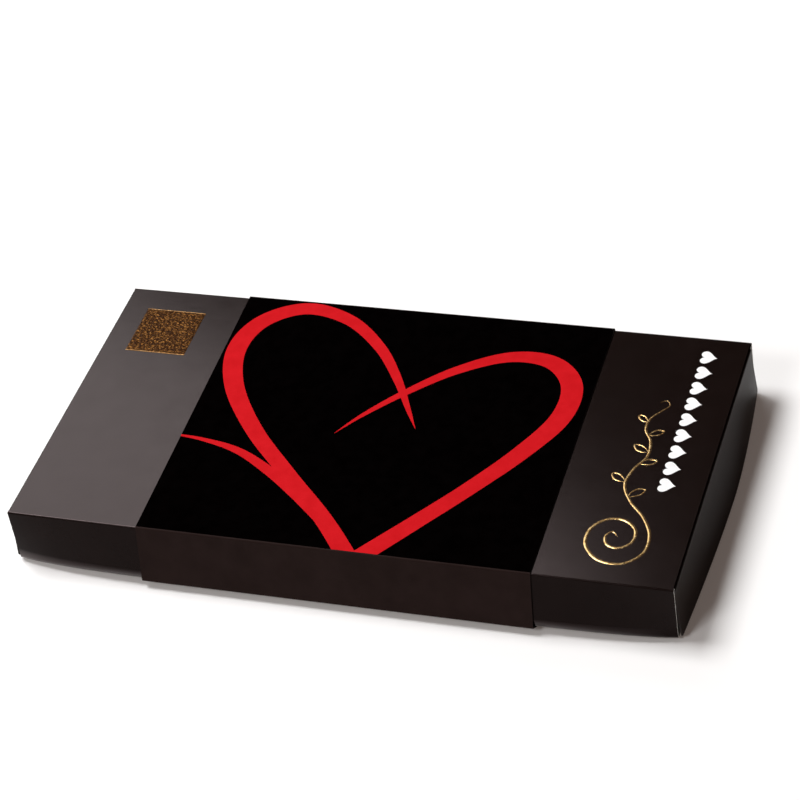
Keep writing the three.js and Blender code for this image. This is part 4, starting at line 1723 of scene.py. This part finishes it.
@dataclass
class Chocolate:
    """One chocolate of a given sort, standing in its cup."""

    sort: Sort
    middle: Point2
    foot: float = 3.5
    radius: float = 19.3
    dome_wall: float = 5.8
    dome_height: float = 20.9
    around: int = 96
    turn: float = 0.0

    def height_share(self, level: float) -> tuple[float, float]:
        """Gives a crown's inset and rise at a level from 0, at its edge, to 1, on top."""
        angle = math.pi / 2 * level
        return 1 - math.cos(angle), math.sin(angle)

    def placed(self, x: float, y: float, z: float) -> Point3:
        """Turns a point of the piece into its place in the drawer."""
        c, s = math.cos(self.turn), math.sin(self.turn)
        return (self.middle[0] + c * x - s * y, self.middle[1] + s * x + c * y, self.foot + z)

    @staticmethod
    def foot_levels(wall: float) -> list[Point2]:
        """Lists the scale and height of the rings of a soft foot under an upright wall."""
        return [(0.955, 0.0), (0.99, 0.5), (1.0, 1.4), (1.0, wall * 0.6)]

    def skin(self, outline: Sequence[Point2], wall: float, height: float, crown: float) -> Draft:
        """Covers an outline with upright sides, a rounded crown and a soft foot.

        Args:
            outline: The widest outline, round zero.
            wall: The height at which the crown starts.
            height: The whole height.
            crown: The share of the outline that the crown takes in.

        Returns:
            The closed skin.
        """
        draft = Draft()
        rings = [[self.placed(x * s, y * s, z) for x, y in outline] for s, z in self.foot_levels(wall)]
        levels = 10
        for k in range(levels + 1):
            inset, rise = self.height_share(k / levels)
            scale = 1 - inset * crown
            z = wall + (height - wall) * rise
            rings.append([self.placed(x * scale, y * scale, z) for x, y in outline])
        for share in (0.75, 0.5, 0.25, 0.01):
            scale = (1 - crown) * share
            rings.append([self.placed(x * scale, y * scale, height + 0.12 * (1 - share)) for x, y in outline])
        draft.grid(rings, closed=True)
        draft.face(rings[0][::-1])
        return draft

    def dome(self) -> Draft:
        """Makes the dome with soft twisted flutes that run out towards its foot.

        Returns:
            The dome.
        """
        draft = Draft()
        wall, height = self.dome_wall, self.dome_height
        levels, flutes, twist, flute_depth, flute_inset = 24, 8, 3.2, 0.9, 0.03
        circle = [2 * math.pi * k / self.around for k in range(self.around)]
        rows = []
        for scale, z in self.foot_levels(wall):
            reach = self.radius * scale
            rows.append([self.placed(reach * math.cos(a), reach * math.sin(a), z) for a in circle])
        for level in range(levels + 1):
            angle = math.pi / 2 * level / (levels + 0.4)  # the last ring stays open and is capped
            row = []
            for a in circle:
                flute = 0.5 + 0.5 * math.cos(flutes * a + twist * level / levels)
                depth = flute_depth * math.sin(math.pi * level / levels) * flute
                reach = self.radius * math.cos(angle) * (1 - flute_inset * flute * (level / levels))
                z = wall + (height - wall) * math.sin(angle) - depth * math.sin(angle)
                row.append(self.placed(reach * math.cos(a), reach * math.sin(a), z))
            rows.append(row)
        draft.grid(rows, closed=True)
        draft.face(rows[0][::-1])
        draft.face(rows[-1])
        return draft

    def heart(self) -> Draft:
        """Makes the plain heart.

        Returns:
            The heart.
        """
        raw = heart_curve(self.around)
        reach = max(math.hypot(x, y) for x, y in raw)
        outline = [(x * self.radius / reach, y * self.radius / reach) for x, y in raw]
        return self.skin(outline, wall=10.4, height=18.8, crown=0.5)

    def square(self) -> Draft:
        """Makes the rounded square with three slanting ridges pressed into its top.

        Returns:
            The square.
        """
        half = 14.8
        outline = []
        for k in range(self.around):
            a = 2 * math.pi * k / self.around
            c, s = math.cos(a), math.sin(a)
            reach = half / (abs(c) ** 5 + abs(s) ** 5) ** 0.2
            outline.append((reach * c, reach * s))
        draft = self.skin(outline, wall=9.3, height=16.9, crown=0.45)
        ridge, pitch, reach, fade, start = 1.1, 6.0, 10.6, 3.0, 12.0
        ridged = []
        for x, y, z in draft.points:
            dx, dy = x - self.middle[0], y - self.middle[1]
            across = (dy - dx) / math.sqrt(2)
            if z > self.foot + start and abs(across) < 1.25 * pitch:
                edge = min(1.0, max(0.0, (reach - math.hypot(dx, dy)) / fade))
                z += ridge * edge * max(0.0, math.cos(2 * math.pi * across / pitch)) ** 2
            ridged.append((x, y, z))
        draft.points = ridged
        return draft

    def drizzle(self) -> Draft:
        """Lays a thin zigzag thread over a dome.

        Returns:
            The thread.
        """
        runs, gap, span, around, lift = 9, 3.0, 15.5, 8, 0.05
        half_width, half_height = 0.62, 0.42
        path: list[Point2] = []
        for k in range(runs):
            y = gap * (k - (runs - 1) / 2)
            width = math.sqrt(span**2 - y**2)
            path.append((width if k % 2 else -width, y))
        line = through(path, 16)
        draft = Draft()
        rows = []
        for k, (x, y) in enumerate(line):
            share = min(1.0, math.hypot(x, y) / self.radius)
            z = self.dome_wall + (self.dome_height - self.dome_wall) * math.sqrt(1 - share**2) + lift
            back, on = line[max(k - 1, 0)], line[min(k + 1, len(line) - 1)]
            along = Vector((on[0] - back[0], on[1] - back[1])).normalized()
            row = []
            for step in range(around):
                angle = 2 * math.pi * step / around
                side, rise = half_width * math.cos(angle), half_height * math.sin(angle)
                row.append(self.placed(x - along.y * side, y + along.x * side, z + rise))
            rows.append(row)
        draft.grid(rows, closed=True)
        draft.face(rows[0][::-1])
        draft.face(rows[-1])
        return draft


@dataclass
class Filling:
    """A cup and a chocolate in every cell."""

    columns: int = 6
    rows: int = 3
    pitch: Point2 = (326.6 / 6, 171.1 / 3)
    middle_y: float = -0.25
    turn_step: float = 0.37

    def cells(self) -> list[tuple[int, int, Point2]]:
        """Lists row, column and middle of every cell, from the front left.

        Returns:
            One entry for each cell.
        """
        out = []
        for row in range(self.rows):
            for column in range(self.columns):
                x = (column - (self.columns - 1) / 2) * self.pitch[0]
                y = self.middle_y + (row - (self.rows - 1) / 2) * self.pitch[1]
                out.append((row, column, (x, y)))
        return out

    def dress(self) -> None:
        """Makes the cups and the chocolates with their finishes."""
        paper = [PALETTE.cup.material()]
        coats = {
            Sort.DOME: (PALETTE.dark.material(), Slot.DARK, "dome_chocolate"),
            Sort.HEART: (PALETTE.ruby.material(), Slot.RED, "heart_chocolate"),
            Sort.SQUARE: (PALETTE.milk.material(), Slot.MILK, "square_chocolate"),
        }
        made = {sort: 0 for sort in Sort}
        for row, column, middle in self.cells():
            number = row * self.columns + column + 1
            cup = PaperCup(middle, turn=self.turn_step * number).build()
            piece = cup.make(f"cup_{number}_pleated", Body.DRAWER, Slot.CUP, paper, sharp=80, weld=True)
            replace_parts(piece, f"paper_cup_{number}")
            sort = Sort((row + column) % len(Sort))
            made[sort] += 1
            coat, slot, node = coats[sort]
            chocolate = Chocolate(sort, middle)
            shapes = {Sort.DOME: chocolate.dome, Sort.HEART: chocolate.heart, Sort.SQUARE: chocolate.square}
            draft = shapes[sort]()
            body = draft.make(f"{node}_{made[sort]}_coated", Body.DRAWER, slot, [coat], sharp=60, weld=True)
            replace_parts(body, f"{node}_{made[sort]}")
            if sort is Sort.DOME:
                milk = coats[Sort.SQUARE][0]
                chocolate.drizzle().make(
                    f"{node}_{made[sort]}_drizzle", Body.DRAWER, Slot.MILK, [milk], sharp=60, weld=True
                )


# Stage, light and camera


@dataclass
class Studio:
    """The white floor, the soft lights and the surroundings."""

    floor_size: float = 9.0
    floor_colour: Colour = (0.93, 0.93, 0.93)
    floor_glow: Colour = (0.060, 0.048, 0.042)
    horizon: Colour = (0.38, 0.33, 0.30)
    ceiling: Colour = (0.072, 0.056, 0.050)
    dims_between: tuple[float, float] = (0.12, 0.45)
    floor_steps: int = 8
    lamp_distance: float = 3.0

    @staticmethod
    def seen(tree: bpy.types.NodeTree) -> bpy.types.NodeSocket:
        """Gives 1 for rays from the camera, a mirror or glass, and 0 for the rest.

        Args:
            tree: The floor's node tree.

        Returns:
            The socket that carries it.
        """
        path = tree.nodes.new("ShaderNodeLightPath")
        total = path.outputs["Is Camera Ray"]
        for name in ("Is Glossy Ray", "Is Transmission Ray"):
            either = tree.nodes.new("ShaderNodeMath")
            either.operation = "MAXIMUM"
            tree.links.new(total, either.inputs[0])
            tree.links.new(path.outputs[name], either.inputs[1])
            total = either.outputs[0]
        return total

    def floor(self) -> bpy.types.Object:
        """Makes the floor, which shows white and keeps the shadow.

        Returns:
            The floor's object.
        """
        material = bpy.data.materials.new("white_floor")
        material.use_nodes = True
        tree = material.node_tree
        tree.nodes.clear()
        paper = tree.nodes.new("ShaderNodeBsdfDiffuse")
        paper.inputs["Color"].default_value = (*self.floor_colour, 1.0)
        glow = tree.nodes.new("ShaderNodeEmission")
        glow.inputs["Color"].default_value = (*self.floor_glow, 1.0)
        tree.links.new(self.seen(tree), glow.inputs["Strength"])
        both = tree.nodes.new("ShaderNodeAddShader")
        tree.links.new(paper.outputs[0], both.inputs[0])
        tree.links.new(glow.outputs[0], both.inputs[1])
        out = tree.nodes.new("ShaderNodeOutputMaterial")
        tree.links.new(both.outputs[0], out.inputs["Surface"])
        mesh = bpy.data.meshes.new("studio_floor")
        half, steps = self.floor_size / 2, self.floor_steps
        ticks = [-half + self.floor_size * k / steps for k in range(steps + 1)]
        points = [(x, y, 0.0) for y in ticks for x in ticks]
        wide = steps + 1
        faces = [
            (r * wide + k, r * wide + k + 1, (r + 1) * wide + k + 1, (r + 1) * wide + k)
            for r in range(steps)
            for k in range(steps)
        ]
        mesh.from_pydata(points, [], faces)
        mesh.materials.append(material)
        piece = bpy.data.objects.new("studio_floor", mesh)
        bpy.context.scene.collection.objects.link(piece)
        return piece

    def surroundings(self) -> None:
        """Makes the world: white walls round the floor under a dim ceiling."""
        world = bpy.data.worlds.new("studio")
        world.use_nodes = True
        tree = world.node_tree
        where = tree.nodes.new("ShaderNodeTexCoord")
        parts = tree.nodes.new("ShaderNodeSeparateXYZ")
        tree.links.new(where.outputs["Generated"], parts.inputs[0])
        rise = tree.nodes.new("ShaderNodeMapRange")
        rise.interpolation_type = "SMOOTHSTEP"
        rise.inputs["From Min"].default_value, rise.inputs["From Max"].default_value = self.dims_between
        tree.links.new(parts.outputs["Z"], rise.inputs["Value"])
        mix = tree.nodes.new("ShaderNodeMix")
        mix.data_type = "RGBA"
        tree.links.new(rise.outputs["Result"], mix.inputs["Factor"])
        mix.inputs[6].default_value = (*self.horizon, 1.0)
        mix.inputs[7].default_value = (*self.ceiling, 1.0)
        tree.links.new(mix.outputs[2], tree.nodes["Background"].inputs["Color"])
        bpy.context.scene.world = world

    def softbox(
        self, name: str, azimuth: float, elevation: float, size: Point2, radiance: float, roll: float = 0.0
    ) -> None:
        """Hangs a softbox that faces the box.

        Args:
            name: The lamp's name.
            azimuth: Degrees from the back, +Y, towards the left, -X.
            elevation: Degrees above the floor.
            size: Its width and height in metres.
            radiance: How bright its face is, where 1 is white.
            roll: Degrees by which it is turned about its own axis.
        """
        lamp = bpy.data.lights.new(name, "AREA")
        lamp.shape = "RECTANGLE"
        lamp.size, lamp.size_y = size
        lamp.energy = radiance * math.pi * size[0] * size[1]
        a, e = math.radians(azimuth), math.radians(elevation)
        towards = Vector((-math.sin(a) * math.cos(e), math.cos(a) * math.cos(e), math.sin(e)))
        hung = bpy.data.objects.new(name, lamp)
        hung.location = towards * self.lamp_distance
        hung.rotation_mode = "QUATERNION"
        turn = Quaternion((0.0, 0.0, 1.0), -math.radians(roll))
        hung.rotation_quaternion = (-towards).to_track_quat("-Z", "Y") @ turn
        bpy.context.scene.collection.objects.link(hung)

    def build(self) -> None:
        """Sets up floor, surroundings and lamps."""
        self.floor()
        self.surroundings()
        self.softbox("sheen_back_left", 39.7, 40.1, (1.9, 0.75), 2.9, 50.3)
        self.softbox("main_left", 80.0, 63.0, (1.4, 1.2), 16.0)
        self.softbox("rim_front_left", 154.0, 43.0, (0.8, 0.8), 13.0)


@dataclass
class PhotoCamera:
    """The camera from which the photograph was taken, worked out from the box's corners."""

    place: Point3 = (0.417648, -0.926263, 0.909617)
    forward: Point3 = (-0.306051, 0.698463, -0.646902)
    roll: float = -10.18
    lens: float = 123.79
    sensor: float = 36.0

    def build(self) -> bpy.types.Object:
        """Makes the camera and hands it to the scene.

        Returns:
            The camera's object.
        """
        data = bpy.data.cameras.new("photo_camera")
        data.lens = self.lens
        data.sensor_width = self.sensor
        camera = bpy.data.objects.new("photo_camera", data)
        camera.location = self.place
        camera.rotation_mode = "QUATERNION"
        level = Vector(self.forward).to_track_quat("-Z", "Y")
        camera.rotation_quaternion = level @ Quaternion((0.0, 0.0, 1.0), math.radians(self.roll))
        bpy.context.scene.collection.objects.link(camera)
        bpy.context.scene.camera = camera
        return camera


def main() -> None:
    """Builds the box's pieces in order, then its stage, light and camera."""
    logging.basicConfig(level=logging.INFO, format="%(name)s: %(message)s")
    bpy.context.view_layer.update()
    PhotoCamera().build()
    Studio().build()
    shell = OuterShell()
    shell.dress()
    FoilOrnaments(shell.top).dress()
    PrintedBand().dress()
    DrawerTray().dress()
    Dividers().dress()
    Filling().dress()
    bpy.context.scene.view_settings.view_transform = "Standard"


if __name__ == "__main__":
    main()
